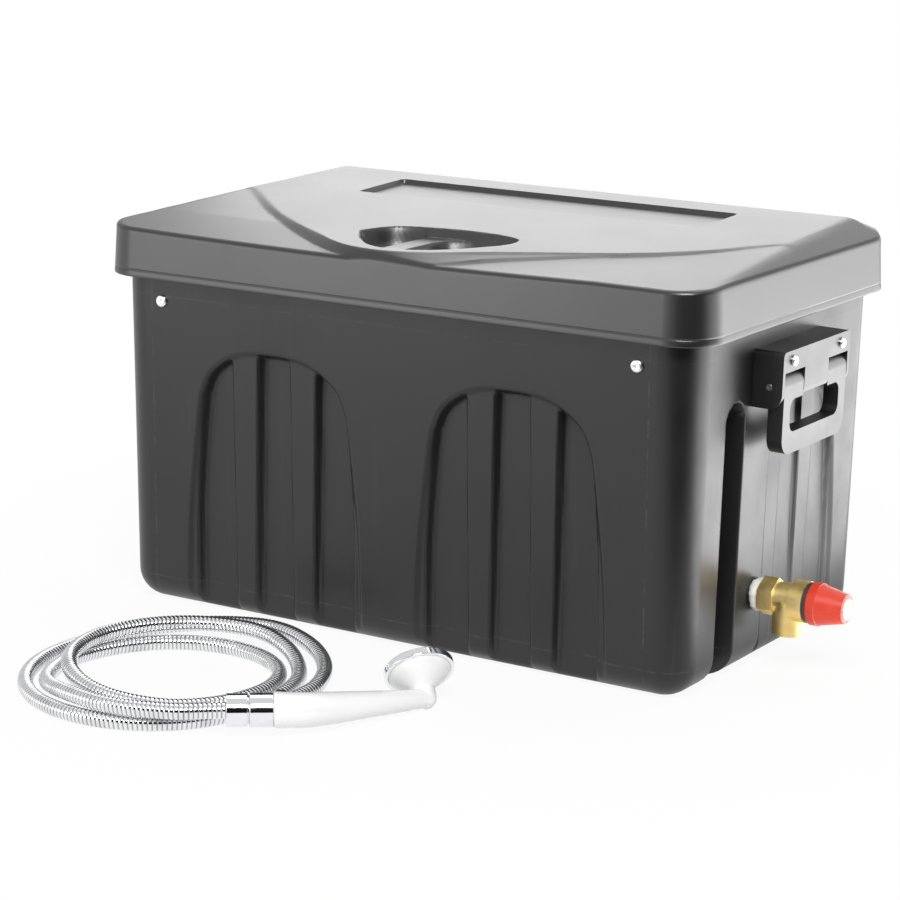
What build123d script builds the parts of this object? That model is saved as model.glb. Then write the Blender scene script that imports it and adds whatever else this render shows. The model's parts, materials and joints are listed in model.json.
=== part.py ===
"""Portable water heater: a boiler in a lidded plastic box, with carry handles,
a safety valve and a hand shower on a coiled metal hose. Millimetres.
The origin is on the floor under the middle of the box; X runs to the valve end,
Y to the back and Z up."""
import os
from math import atan, cos, degrees, dist, pi, radians, sin

from build123d import *

# Clearances and the overrun of cuts
OVERRUN = 6.0
RUN_CLEAR = 0.05
FREE_CLEAR = 0.4
REACH = 900.0

# Tub
FOOT_HALF_X = 263.2
FOOT_HALF_Y = 157.7
LEAN = 0.0174
TUB_CORNER = 32.0
FOOT_ROUND = 25.0
TUB_WALL = 4.0
TUB_FLOOR = 5.0
RIM_TOP = 314.4
RIM_HEIGHT = 8.0
RIM_OVERHANG_X = 4.3
RIM_OVERHANG_Y = 2.8

# Arched recesses of the tub
ARCH_HALF = 86.0
ARCH_TOP = 225.5
ARCH_X = 112.0
END_ARCH_Y = 20.0
STEP_DEPTH = 3.0
GROOVE_DEPTH = 10.5
END_GROOVE_DEPTH = 6.0
GROOVE_MARGIN = 7.0
RIB_OFFSET = 28.5
RIB_TOP_WIDTH = 27.6
RIB_FOOT_WIDTH = 20.5
RIB_FOOT_DROP = 22.5
ARCH_WIDTH_SHARES = (1.0, 0.998, 0.959, 0.856, 0.802, 0.715, 0.523, 0.3)
ARCH_HEIGHT_SHARES = (-0.06, 0.071, 0.404, 0.745, 0.843, 0.907, 0.963, 0.992)
SLOT_Y = -87.0
SLOT_WIDTH = 30.0
SLOT_TOP = 222.0
SLOT_DEPTH = 19.0

# Lid
LID_GAP = 3.0
LID_CORNER = 35.0
LID_WALL = 4.0
SKIRT_BOTTOM = 278.0
SKIRT_TOP = 319.0
SKIRT_LEAN = 2.0
LID_CEILING = 315.0
CROWN_HEIGHT = 25.0
LIP = 0.6
PANEL_Z = 330.0
PANEL_SLOPE = 0.04
FACET_SLOPE = 0.058
CHAMFER_RISE = 16.5
END_CHAMFER_RUN = 29.0
BACK_CHAMFER_RUN = 25.0
SWOOSH_INSET = 30.0
SWOOSH_BACK = 8.0
NOSE_INSET = 3.0
SWOOSH_WIDTH_SHARES = (1.0, 0.92, 0.768, 0.66, 0.48, 0.348, 0.2, 0.072)
SWOOSH_REACH_SHARES = (0.0, 0.157, 0.36, 0.494, 0.713, 0.837, 0.949, 0.994)
CUP_INSET = 62.0
CUP_HALF_X = 60.0
CUP_HALF_Y = 42.0
CUP_LEDGE = 320.0
CUP_LEDGE_SHARE = 0.86
CUP_WELL_X = 12.0
CUP_WELL_FORWARD = 5.0
CUP_WELL_HALF_X = 38.0
CUP_WELL_HALF_Y = 29.0
CUP_FLOOR = 311.5
PLATE_HALF = 164.0
PLATE_WIDTH = 69.0
PLATE_INSET = 62.0
PLATE_DEPTH = 3.5
POCKET_END_INSET = 44.0
POCKET_CUP_GAP = 13.0
POCKET_BACK_INSET = 41.0
CROWN_SKIN = 8.0

# Rear hinges
HINGE_X = 170.0
HINGE_OUT = 5.6
HINGE_Z = 271.0
KNUCKLE_R = 5.5
PIN_R = 2.0
LID_KNUCKLE = 30.0
TUB_KNUCKLE = 14.0
KNUCKLE_RISE = 21.0

# Carry handles, measured up the end wall and out from it
HANDLE_HALF = 60.5
HANDLE_TOP = 261.0
HANDLE_BOTTOM = 216.0
HANDLE_PROUD = 25.0
HANDLE_ROUND = 12.0
CHEEK = 4.0
TONGUE_HALF = 21.5
TONGUE_BOTTOM = 224.0
PIVOT_Z = 233.0
PIVOT_OUT = 13.8
ARM_R = 11.0
BAIL_THICK = 13.0
BAIL_BOTTOM = 179.0
BAIL_CORNER = 14.0
WINDOW_HALF = 44.0
WINDOW_BOTTOM = 196.0
WINDOW_TOP = 222.0
WINDOW_CORNER = 8.0
PIVOT_PIN_R = 2.5
HANDLE_SCREW_Y = 43.5
HANDLE_SCREW_Z = 252.8

# Screws and nuts
SCREW_R = 2.5
HEAD_R = 4.4
FRONT_HEAD_R = 5.2
HEAD_HEIGHT = 2.8
HEAD_ROUND = 1.96
SOCKET_R = 1.9
SOCKET_DEPTH = 1.6
NUT_R = 4.6
NUT_HEIGHT = 4.0
FRONT_SCREW_X = 221.2
FRONT_SCREW_Z = 259.2

# Inner deck sheet
DECK_Z = 290.0
DECK_SHEET = 2.0
DECK_HALF_X = 250.0
DECK_LOW = 246.0

# Safety valve, along X from the end wall
VALVE_Y = -36.0
VALVE_Z = 61.5
NIPPLE_R = 10.0
NIPPLE_BORE = 7.0
SEALANT_R = 13.0
SEALANT_END = 271.6
HEX_START = 272.6
HEX_END = 285.0
HEX_FLATS = 27.0
NECK_R = 12.8
BONNET_START = 299.2
BONNET_R = 16.6
BONNET_END = 311.3
OUTLET_X = 295.0
OUTLET_R = 13.5
OUTLET_SOCKET = 11.0
OUTLET_BOTTOM = 34.2
SEAT_X = 285.0
SEAT_R = 8.4
SEAT_THICK = 2.0
FLOW_BORE = 6.0
STEM_R = 2.5
STEM_END = 336.0
SPRING_R = 7.0
SPRING_WIRE = 1.6
RING_R = 16.2
RING_THICK = 3.4
RING_BOSS = 5.0
CAP_BASE_R = 17.0
CAP_RIM = 7.0
CAP_CONE_R = 16.3
CAP_END_R = 11.6
CAP_START = 315.1
CAP_END = 343.4
CAP_WALL = 2.3
CAP_DISC_R = 8.6
CAP_DISC_THICK = 1.6
STEM_LIFT = 2.0

# Boiler
TANK_R = 115.0
TANK_WALL = 1.5
TANK_Z = 150.0
TANK_LEFT = -175.0
TANK_RIGHT = 190.0
TANK_ROUND = 22.0
JACKET_R = 135.0
JACKET_LEFT = -168.0
JACKET_RIGHT = 208.0
SADDLE_X = 110.0
SADDLE_WIDTH = 40.0
SADDLE_HALF = 141.0
SADDLE_TOP = 100.0
STRAP_WIDTH = 22.0
STRAP_THICK = 1.2
STRAP_SCREW_R = 2.0
STRAP_SCREW_LENGTH = 16.0
FLANGE_R = 50.0
FLANGE_THICK = 8.0
GASKET_THICK = 3.0
FLANGE_BOLTS = 6
BOLT_CIRCLE = 42.0
BOLT_R = 3.0
BOLT_HEAD_R = 5.4
BOLT_HEAD = 4.0
ELEMENT_R = 4.2
ELEMENT_HALF = 20.0
ELEMENT_REACH = 220.0
THERMOSTAT_HALF = 22.0
THERMOSTAT_DEEP = 30.0
COVER_HALF = 29.0
COVER_WALL = 1.6
COVER_DEEP = 39.0

# Pipes and fittings of the left end
PIPE_R = 7.5
PIPE_BORE = 6.0
COLD_Y = -36.0
COLD_Z = 60.0
HOT_Y = 77.5
HOT_Z = 100.0
HOT_RISE = 222.0
RISER_R = 6.2
RISER_BORE = 4.8
THREAD_R = 10.5
FITTING_FLANGE_R = 15.0
FITTING_FLANGE = 4.0
FITTING_OUT = 26.0
FITTING_IN = 16.0
WASHER_THICK = 2.0
BACKNUT_R = 15.5
BACKNUT_THICK = 6.0
GLAND_Y = 20.0
GLAND_Z = 60.0
GLAND_R = 8.0
GLAND_BORE = 4.5
GLAND_HEAD_R = 12.0
GLAND_OUT = 20.0
GLAND_IN = 12.0
SWITCH_Y = 118.0
SWITCH_Z = 242.0
SWITCH_HALF_Y = 7.5
SWITCH_HALF_Z = 10.5
SWITCH_BODY_Y = 6.4
SWITCH_BODY_Z = 9.4
SWITCH_FRAME = 2.0
SWITCH_DEEP = 16.0
ROCKER_HALF_Y = 4.6
ROCKER_HALF_Z = 7.4
ROCKER_OUT = 5.2
ROCKER_IN = 4.0
ROCKER_DIP = 2.2
ROCKER_LOW_DIP = 0.9
ROCKER_WAIST_Z = 6.4
ROCKER_WAIST_IN = 2.0

# Hose, coiled on the floor in front of the box; shares are taken each eighth of a turn
HOSE_R = 6.2
HOSE_BORE = 3.6
RIB_DEPTH = 0.7
HOSE_RIBS = 200
COIL_X = -82.9
COIL_Y = -329.3
COIL_START_DEG = -53.3
COIL_OUTER = 124.0
COIL_STEPS = 8
COIL_END_STEP = 22.75
COIL_SHARES = (1.0, 0.871, 0.766, 0.726, 0.71, 0.669, 0.649, 0.621, 0.609, 0.617, 0.645, 0.702,
               0.774, 0.798, 0.774, 0.766, 0.899, 0.927, 0.911, 0.899, 0.907, 0.935, 0.931, 0.931)
LAYER_RISE = 13.5
LAYER_SHARES = (1.0, 0.96, 0.15, 0.0, 0.0, 0.0, 0.0, 0.0, 0.0, 0.35, 0.85, 1.0,
                1.0, 0.97, 0.03, 0.0, 0.0, 0.0, 0.0, 0.05, 0.5, 0.95, 0.42, 0.4)
FLOOR_GAP = 0.3
LEAD_LENGTH = 39.0
TAIL_LENGTH = 36.0

# Hose nuts and the hand shower, along its own axis
SHOWER_DEG = 36.7
HOSE_NUT_R = 12.3
HOSE_NUT_LENGTH = 15.5
NUT_OVERLAP = 8.0
WASHER_BORE = 5.0
WASHER_LENGTH = 1.2
COLLAR_LENGTH = 18.0
COLLAR_R = 12.6
SHOWER_BORE = 5.5
GRIP_PATH_SHARES = (0.0, 0.164, 0.337, 0.548, 0.762, 0.905, 1.0)
GRIP_SIDE_SHARES = (0.0, 0.07, 0.22, 0.46, 0.7, 0.87, 1.0)
GRIP_GIRTH_SHARES = (1.0, 0.98, 0.92, 0.79, 0.66, 0.58, 0.55)
GRIP_R = 13.4
GRIP_LENGTH = 115.0
GRIP_SIDE = 57.0
ELBOW_Z = 8.9
STEM_TUBE_R = 8.5
STEM_LENGTH = 28.0
FACE_R = 27.0
FACE_TURN_DEG = 12.0
FACE_LIFT_DEG = 38.4
RING_WIDTH = 6.0
RING_WALL = 3.0
DOME_DEEP = 15.0
DOME_DEEP_SHARES = (0.28, 0.55, 0.8, 1.0)
DOME_NARROW_SHARES = (0.22, 0.56, 0.87, 1.0)
SPRAY_EDGE = 2.0
SPRAY_BULGE = 3.5
SPRAY_SHOULDER_SHARE = 0.6
SPRAY_SHOULDER_RISE = 2.45
NOZZLE_R = 1.0
NOZZLE_OUT = 1.0
NOZZLE_CIRCLE_SHARES = (0.3, 0.58, 0.84)
NOZZLE_COUNTS = (6, 12, 18)
END_NUT_R = 11.6

RIM_HALF_X = FOOT_HALF_X + RIM_TOP * LEAN + RIM_OVERHANG_X
RIM_HALF_Y = FOOT_HALF_Y + RIM_TOP * LEAN + RIM_OVERHANG_Y
LID_HALF_X = RIM_HALF_X + LID_GAP + LID_WALL
LID_HALF_Y = RIM_HALF_Y + LID_GAP + LID_WALL
SWOOSH_HALF = LID_HALF_X - SWOOSH_INSET
SWOOSH_REACH = LID_HALF_Y - NOSE_INSET + SWOOSH_BACK
CUP_Y = CUP_INSET - LID_HALF_Y
CUP_WELL_Y = CUP_Y - CUP_WELL_FORWARD
PLATE_BACK = LID_HALF_Y - PLATE_INSET
HINGE_Y = LID_HALF_Y + HINGE_OUT
DRAFT_DEG = degrees(atan(LEAN))
SKIRT_DEG = degrees(atan(SKIRT_LEAN / (SKIRT_TOP - SKIRT_BOTTOM)))
FRONT = Plane(origin=(0, -FOOT_HALF_Y, 0), x_dir=(1, 0, 0), z_dir=(0, -1, -LEAN))
BACK = Plane(origin=(0, FOOT_HALF_Y, 0), x_dir=(-1, 0, 0), z_dir=(0, 1, -LEAN))
RIGHT = Plane(origin=(FOOT_HALF_X, 0, 0), x_dir=(0, 1, 0), z_dir=(1, 0, -LEAN))
LEFT = Plane(origin=(-FOOT_HALF_X, 0, 0), x_dir=(0, -1, 0), z_dir=(-1, 0, -LEAN))


def block(x0, x1, y0, y1, z0, z1):
    """A box between two opposite corners."""
    middle = Pos((x0 + x1) / 2, (y0 + y1) / 2, (z0 + z1) / 2)
    return middle * Box(x1 - x0, y1 - y0, z1 - z0)


def rod_x(radius, x0, x1, y, z):
    """A round bar along X."""
    return Pos((x0 + x1) / 2, y, z) * Rot(0, 90, 0) * Cylinder(radius, x1 - x0)


def rod_y(radius, x, y0, y1, z):
    """A round bar along Y."""
    return Pos(x, (y0 + y1) / 2, z) * Rot(90, 0, 0) * Cylinder(radius, y1 - y0)


def rod_z(radius, x, y, z0, z1):
    """A round bar along Z."""
    return Pos(x, y, (z0 + z1) / 2) * Cylinder(radius, z1 - z0)


def hex_x(flats, x0, x1, y, z):
    """A hexagonal bar along X, with two flats level."""
    bar = extrude(RegularPolygon(flats / 2, 6, major_radius=False), amount=x1 - x0)
    return Pos(x0, y, z) * Rot(0, 90, 0) * bar


def on_wall(plane, shape):
    """Moves a shape from a wall's own frame to the box."""
    return plane.location * shape


def tapered(half_x, half_y, corner, z0, z1):
    """A drafted round-cornered block, half sizes taken at the floor."""
    grow = z1 * LEAN
    top = Plane.XY.offset(z1) * RectangleRounded(2 * (half_x + grow), 2 * (half_y + grow), corner)
    return extrude(top, amount=z1 - z0, dir=(0, 0, -1), taper=DRAFT_DEG)


def trimmed(part, plane):
    """Takes away everything on the outer side of a plane."""
    side = Pos(0, 0, REACH / 2) * Box(REACH, REACH, REACH)
    return part - plane.location * side


def arch_face(grow):
    """The arch's outline in its wall's frame, grown all round."""
    half = ARCH_HALF + grow
    top = ARCH_TOP + grow
    right = [(w * half, h * top) for w, h in zip(ARCH_WIDTH_SHARES, ARCH_HEIGHT_SHARES)]
    left = [(-x, y) for x, y in right]
    points = left + [(0, top)] + right[::-1]
    return make_face([Spline(*points), Line(points[-1], points[0])])


def wall_cut(face, depth):
    """A cut of one depth from the wall's face inwards, in the wall's frame."""
    return Pos(0, 0, -depth) * extrude(face, amount=depth + OVERRUN)


def arch_ribs():
    """The two tapering ribs that stay inside an arch, in its frame."""
    ribs = []
    for side in (-1, 1):
        middle = side * RIB_OFFSET
        corners = [
            (middle - RIB_FOOT_WIDTH / 2, -RIB_FOOT_DROP),
            (middle + RIB_FOOT_WIDTH / 2, -RIB_FOOT_DROP),
            (middle + RIB_TOP_WIDTH / 2, ARCH_TOP),
            (middle - RIB_TOP_WIDTH / 2, ARCH_TOP),
        ]
        ribs.append(wall_cut(make_face(Polyline(*corners, close=True)), GROOVE_DEPTH + OVERRUN))
    return ribs


def arch_recess(depth):
    """The shallow arch with its three deeper grooves, in its frame."""
    grooves = wall_cut(arch_face(-GROOVE_MARGIN), depth)
    for rib in arch_ribs():
        grooves = grooves - rib
    return wall_cut(arch_face(0), STEP_DEPTH) + grooves


def arch_boss(depth):
    """The inner wall's bulge behind an arch."""
    return wall_cut(arch_face(TUB_WALL), depth + TUB_WALL)


def slot_face(grow):
    """The end's deep slot with its round top, in the wall's frame."""
    width = SLOT_WIDTH + 2 * grow
    round_z = SLOT_TOP - SLOT_WIDTH / 2
    leg = round_z + OVERRUN
    return Pos(0, round_z - leg / 2) * Rectangle(width, leg) + Pos(0, round_z) * Circle(width / 2)


def wall_places():
    """Each arch's wall frame, its place along the wall and its grooves' depth."""
    places = []
    for side in (-1, 1):
        places.append((FRONT, side * ARCH_X, GROOVE_DEPTH))
        places.append((BACK, side * ARCH_X, GROOVE_DEPTH))
    places.append((RIGHT, END_ARCH_Y, END_GROOVE_DEPTH))
    places.append((LEFT, -END_ARCH_Y, END_GROOVE_DEPTH))
    return places


def slot_places():
    """Each end's slot."""
    return [(RIGHT, SLOT_Y), (LEFT, -SLOT_Y)]


def tub_knuckles():
    """The tub's halves of the two rear hinges."""
    wall_y = FOOT_HALF_Y + HINGE_Z * LEAN - TUB_WALL / 2
    knuckles = []
    for side in (-1, 1):
        for flank in (-1, 1):
            inner = LID_KNUCKLE / 2 + FREE_CLEAR
            x0 = side * HINGE_X + flank * inner
            x1 = x0 + flank * TUB_KNUCKLE
            low, high = min(x0, x1), max(x0, x1)
            arm = block(low, high, wall_y, HINGE_Y, HINGE_Z - KNUCKLE_R, HINGE_Z + KNUCKLE_R)
            knuckles.append(arm + rod_x(KNUCKLE_R, low, high, HINGE_Y, HINGE_Z))
    return knuckles


def hinge_span():
    """Half the length of a hinge pin."""
    return LID_KNUCKLE / 2 + FREE_CLEAR + TUB_KNUCKLE


def end_holes():
    """Holes through the end walls for the fittings, pipes and screws."""
    x0 = FOOT_HALF_X - SLOT_DEPTH - TUB_WALL
    x1 = FOOT_HALF_X + OVERRUN
    holes = [rod_x(NIPPLE_R, x0, x1, VALVE_Y, VALVE_Z)]
    holes.append(rod_x(THREAD_R, -x1, -x0, COLD_Y, COLD_Z))
    holes.append(rod_x(THREAD_R, -x1, -x0, HOT_Y, HOT_Z))
    holes.append(rod_x(GLAND_R, -x1, -x0, GLAND_Y, GLAND_Z))
    switch = block(-SWITCH_BODY_Y, SWITCH_BODY_Y, -SWITCH_BODY_Z, SWITCH_BODY_Z, -SWITCH_DEEP, OVERRUN)
    holes.append(on_wall(LEFT, Pos(-SWITCH_Y, SWITCH_Z, 0) * switch))
    for plane, y, z in handle_screw_places() + front_screw_places():
        holes.append(on_wall(plane, rod_z(SCREW_R, y, z, -SLOT_DEPTH, OVERRUN)))
    return holes


def handle_screw_places():
    """The wall frame and place of each handle screw."""
    return [(plane, side * HANDLE_SCREW_Y, HANDLE_SCREW_Z) for plane in (RIGHT, LEFT) for side in (-1, 1)]


def front_screw_places():
    """The wall frame and place of each screw that holds the deck."""
    return [(plane, side * FRONT_SCREW_X, FRONT_SCREW_Z) for plane in (FRONT, BACK) for side in (-1, 1)]


def make_tub():
    """The moulded tub: drafted box, rim, arches, slots and hinge knuckles."""
    outer = tapered(FOOT_HALF_X, FOOT_HALF_Y, TUB_CORNER, 0, RIM_TOP)
    outer = fillet(outer.edges().group_by(Axis.Z)[0], FOOT_ROUND)
    rim_face = RectangleRounded(2 * RIM_HALF_X, 2 * RIM_HALF_Y, TUB_CORNER)
    outer = outer + extrude(Plane.XY.offset(RIM_TOP - RIM_HEIGHT) * rim_face, amount=RIM_HEIGHT)
    for knuckle in tub_knuckles():
        outer = outer + knuckle
    cavity = tapered(FOOT_HALF_X - TUB_WALL, FOOT_HALF_Y - TUB_WALL, TUB_CORNER - TUB_WALL,
                     TUB_FLOOR, RIM_TOP + OVERRUN)
    cavity = fillet(cavity.edges().group_by(Axis.Z)[0], FOOT_ROUND - TUB_WALL)
    for plane, along, depth in wall_places():
        cavity = cavity - on_wall(plane, Pos(along, 0, 0) * arch_boss(depth))
        outer = outer - on_wall(plane, Pos(along, 0, 0) * arch_recess(depth))
    for plane, along in slot_places():
        slot = wall_cut(slot_face(TUB_WALL), SLOT_DEPTH + TUB_WALL)
        cavity = cavity - on_wall(plane, Pos(along, 0, 0) * slot)
        outer = outer - on_wall(plane, Pos(along, 0, 0) * wall_cut(slot_face(0), SLOT_DEPTH))
    tub = outer - cavity
    for hole in end_holes():
        tub = tub - hole
    for side in (-1, 1):
        span = hinge_span() + OVERRUN
        tub = tub - rod_x(PIN_R, side * HINGE_X - span, side * HINGE_X + span, HINGE_Y, HINGE_Z)
    return tub


def crown_planes():
    """The lid's panel, end chamfers and back chamfer, outward normals."""
    edge_x = LID_HALF_X - SKIRT_LEAN
    edge_y = LID_HALF_Y - SKIRT_LEAN
    low = SKIRT_TOP + LIP
    planes = [Plane(origin=(0, 0, PANEL_Z), z_dir=(0, -PANEL_SLOPE, 1))]
    for side in (-1, 1):
        normal = (side * CHAMFER_RISE, 0, END_CHAMFER_RUN)
        planes.append(Plane(origin=(side * edge_x, 0, low), z_dir=normal))
    planes.append(Plane(origin=(0, edge_y, low), z_dir=(0, CHAMFER_RISE, BACK_CHAMFER_RUN)))
    return planes


def swoosh_face():
    """The raised panel's plan, from tip to nose to tip."""
    right = []
    for width, reach in zip(SWOOSH_WIDTH_SHARES, SWOOSH_REACH_SHARES):
        right.append((width * SWOOSH_HALF, SWOOSH_BACK - reach * SWOOSH_REACH))
    left = [(-x, y) for x, y in right]
    nose = (0, SWOOSH_BACK - SWOOSH_REACH)
    points = left + [nose] + right[::-1]
    rear = [(points[-1][0], LID_HALF_Y), (points[0][0], LID_HALF_Y)]
    return make_face([Spline(*points), Polyline(points[-1], rear[0], rear[1], points[0])])


def lid_cup(cut):
    """The finger cup: a ledge and a deeper well beside it."""
    grow = 0 if cut else LID_WALL
    drop = 0 if cut else LID_WALL
    low = Ellipse(CUP_HALF_X * CUP_LEDGE_SHARE + grow, CUP_HALF_Y * CUP_LEDGE_SHARE + grow)
    high = Ellipse(CUP_HALF_X + grow, CUP_HALF_Y + grow)
    ledge = Plane.XY.offset(CUP_LEDGE - drop)
    rim = Plane.XY.offset(PANEL_Z)
    cup = loft([ledge * Pos(0, CUP_Y) * low, rim * Pos(0, CUP_Y) * high])
    well = Ellipse(CUP_WELL_HALF_X + grow, CUP_WELL_HALF_Y + grow)
    floor = Plane.XY.offset(CUP_FLOOR - drop)
    return cup + extrude(floor * Pos(CUP_WELL_X, CUP_WELL_Y) * well, amount=CUP_LEDGE - CUP_FLOOR + drop)


def lid_knuckles():
    """The lid's halves of the two rear hinges."""
    knuckles = []
    for side in (-1, 1):
        x0 = side * HINGE_X - LID_KNUCKLE / 2
        x1 = side * HINGE_X + LID_KNUCKLE / 2
        arm = block(x0, x1, LID_HALF_Y - SKIRT_LEAN, HINGE_Y + KNUCKLE_R, HINGE_Z, HINGE_Z + KNUCKLE_RISE)
        knuckles.append(arm + rod_x(KNUCKLE_R, x0, x1, HINGE_Y, HINGE_Z))
    return knuckles


def make_lid():
    """The moulded lid: leaning skirt, chamfered crown, raised swoosh panel, cup and bare plate."""
    skirt_face = RectangleRounded(2 * LID_HALF_X, 2 * LID_HALF_Y, LID_CORNER)
    foot = Plane.XY.offset(SKIRT_BOTTOM)
    lid = extrude(foot * skirt_face, amount=SKIRT_TOP - SKIRT_BOTTOM, taper=SKIRT_DEG)
    crown_face = RectangleRounded(2 * (LID_HALF_X - SKIRT_LEAN), 2 * (LID_HALF_Y - SKIRT_LEAN),
                                  LID_CORNER - SKIRT_LEAN)
    crown = extrude(Plane.XY.offset(SKIRT_TOP) * crown_face, amount=CROWN_HEIGHT)
    for plane in crown_planes():
        crown = trimmed(crown, plane)
    nose = crown & extrude(Plane.XY.offset(SKIRT_TOP) * swoosh_face(), amount=CROWN_HEIGHT)
    facet_start = (0, SKIRT_LEAN - LID_HALF_Y, SKIRT_TOP + LIP)
    crown = trimmed(crown, Plane(origin=facet_start, z_dir=(0, -FACET_SLOPE, 1)))
    lid = lid + crown + nose
    inner_x = LID_HALF_X - LID_WALL
    inner_y = LID_HALF_Y - LID_WALL
    inner_face = RectangleRounded(2 * inner_x, 2 * inner_y, LID_CORNER - LID_WALL)
    hollow = extrude(foot * inner_face, amount=LID_CEILING - SKIRT_BOTTOM, taper=SKIRT_DEG)
    pocket_x = LID_HALF_X - POCKET_END_INSET
    pocket_front = CUP_Y + CUP_HALF_Y + POCKET_CUP_GAP
    pocket_back = LID_HALF_Y - POCKET_BACK_INSET
    crown_top = SKIRT_TOP + CROWN_HEIGHT
    pocket = block(-pocket_x, pocket_x, pocket_front, pocket_back, LID_CEILING - LIP, crown_top)
    ceiling = Plane(origin=(0, 0, PANEL_Z - CROWN_SKIN), z_dir=(0, -PANEL_SLOPE, 1))
    hollow = hollow + trimmed(pocket, ceiling) - lid_cup(False)
    lid = lid - hollow - lid_cup(True)
    plate_front = PLATE_BACK - PLATE_WIDTH
    plate = block(-PLATE_HALF, PLATE_HALF, plate_front, PLATE_BACK, SKIRT_BOTTOM, crown_top)
    plate_floor = Plane(origin=(0, 0, PANEL_Z - PLATE_DEPTH), z_dir=(0, PANEL_SLOPE, -1))
    lid = lid - trimmed(plate, plate_floor)
    for knuckle in lid_knuckles():
        lid = lid + knuckle
    for side in (-1, 1):
        x0 = side * HINGE_X - LID_KNUCKLE
        lid = lid - rod_x(PIN_R + RUN_CLEAR, x0, x0 + 2 * LID_KNUCKLE, HINGE_Y, HINGE_Z)
    return lid


def make_hinge_pins():
    """Two steel pins, fast in the tub's knuckles."""
    span = hinge_span()
    return [rod_x(PIN_R, s * HINGE_X - span, s * HINGE_X + span, HINGE_Y, HINGE_Z) for s in (-1, 1)]


def arm_spans():
    """Where the bail's two arms lie along the wall."""
    inner = TONGUE_HALF + FREE_CLEAR
    outer = HANDLE_HALF - CHEEK - FREE_CLEAR
    return [(-outer, -inner), (inner, outer)]


def bar_along(radius, a0, a1, up, out):
    """A round bar along a wall, in the wall's frame."""
    return Pos((a0 + a1) / 2, up, out) * Rot(0, 90, 0) * Cylinder(radius, a1 - a0)


def handle_base():
    """The handle's base block with slots for the bail's arms, in the wall's frame."""
    base = block(-HANDLE_HALF, HANDLE_HALF, HANDLE_BOTTOM, HANDLE_TOP, 0, HANDLE_PROUD)
    ends = base.edges().filter_by(Axis.X).group_by(Axis.Z)[-1]
    base = fillet(ends.sort_by(Axis.Y)[0], HANDLE_ROUND)
    base = fillet(base.edges().filter_by(Axis.Z).group_by(Axis.Y)[-1], HANDLE_ROUND / 3)
    room = ARM_R + FREE_CLEAR
    for a0, a1 in arm_spans():
        low, high = a0 - FREE_CLEAR, a1 + FREE_CLEAR
        under = HANDLE_BOTTOM - OVERRUN
        before = HANDLE_PROUD + OVERRUN
        open_slot = block(low, high, under, PIVOT_Z + room, PIVOT_OUT, before)
        back_slot = block(low, high, under, PIVOT_Z, PIVOT_OUT - room, before)
        base = base - open_slot - back_slot - bar_along(room, low, high, PIVOT_Z, PIVOT_OUT)
    tongue_cut = block(-TONGUE_HALF - CHEEK, TONGUE_HALF + CHEEK, HANDLE_BOTTOM - OVERRUN, TONGUE_BOTTOM,
                       -OVERRUN, HANDLE_PROUD + OVERRUN)
    reach = HANDLE_HALF + OVERRUN
    base = base - tongue_cut - bar_along(PIVOT_PIN_R, -reach, reach, PIVOT_Z, PIVOT_OUT)
    for side in (-1, 1):
        base = base - rod_z(SCREW_R, side * HANDLE_SCREW_Y, HANDLE_SCREW_Z, -OVERRUN, HANDLE_PROUD + OVERRUN)
    return base


def handle_bail():
    """The swinging bail: two round-topped arms and a flat loop, in the wall's frame."""
    half = arm_spans()[1][1]
    out1 = PIVOT_OUT + ARM_R
    out0 = out1 - BAIL_THICK
    plate = block(-half, half, BAIL_BOTTOM, PIVOT_Z, out0, out1)
    feet = plate.edges().filter_by(Axis.Z).group_by(Axis.Y)[0]
    plate = fillet(feet, BAIL_CORNER)
    height = WINDOW_TOP - WINDOW_BOTTOM
    window = extrude(RectangleRounded(2 * WINDOW_HALF, height, WINDOW_CORNER), amount=REACH / 2, both=True)
    plate = plate - Pos(0, (WINDOW_TOP + WINDOW_BOTTOM) / 2, 0) * window
    inner = arm_spans()[1][0]
    plate = plate - block(-inner, inner, WINDOW_TOP - WINDOW_CORNER, PIVOT_Z + OVERRUN, 0, REACH)
    for a0, a1 in arm_spans():
        plate = plate + bar_along(ARM_R, a0, a1, PIVOT_Z, PIVOT_OUT)
        plate = plate - bar_along(PIVOT_PIN_R + RUN_CLEAR, a0 - OVERRUN, a1 + OVERRUN, PIVOT_Z, PIVOT_OUT)
    return plate


def handle_pins():
    """Two pivot pins, each through a cheek, an arm and into the tongue."""
    inner = TONGUE_HALF / 2
    spans = [(-HANDLE_HALF, -inner), (inner, HANDLE_HALF)]
    return [bar_along(PIVOT_PIN_R, a0, a1, PIVOT_Z, PIVOT_OUT) for a0, a1 in spans]


def button_screw(radius, out, length):
    """A round-headed socket screw, its head's seat at a height over the wall."""
    head = Pos(0, 0, out) * extrude(Circle(radius), amount=HEAD_HEIGHT)
    head = fillet(head.edges().group_by(Axis.Z)[-1], HEAD_ROUND)
    socket = extrude(RegularPolygon(SOCKET_R, 6), amount=SOCKET_DEPTH + OVERRUN)
    head = head - Pos(0, 0, out + HEAD_HEIGHT - SOCKET_DEPTH) * socket
    return head + rod_z(SCREW_R, 0, 0, out - length, out)


def wall_nut(deep):
    """A hexagon nut at a depth behind a wall's face."""
    nut = extrude(RegularPolygon(NUT_R, 6), amount=NUT_HEIGHT)
    nut = nut - rod_z(SCREW_R, 0, 0, -OVERRUN, NUT_HEIGHT + OVERRUN)
    return Pos(0, 0, -deep - NUT_HEIGHT) * nut


def placed(places, shape):
    """One shape at each place on its wall."""
    return [on_wall(plane, Pos(along, up, 0) * shape) for plane, along, up in places]


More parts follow.
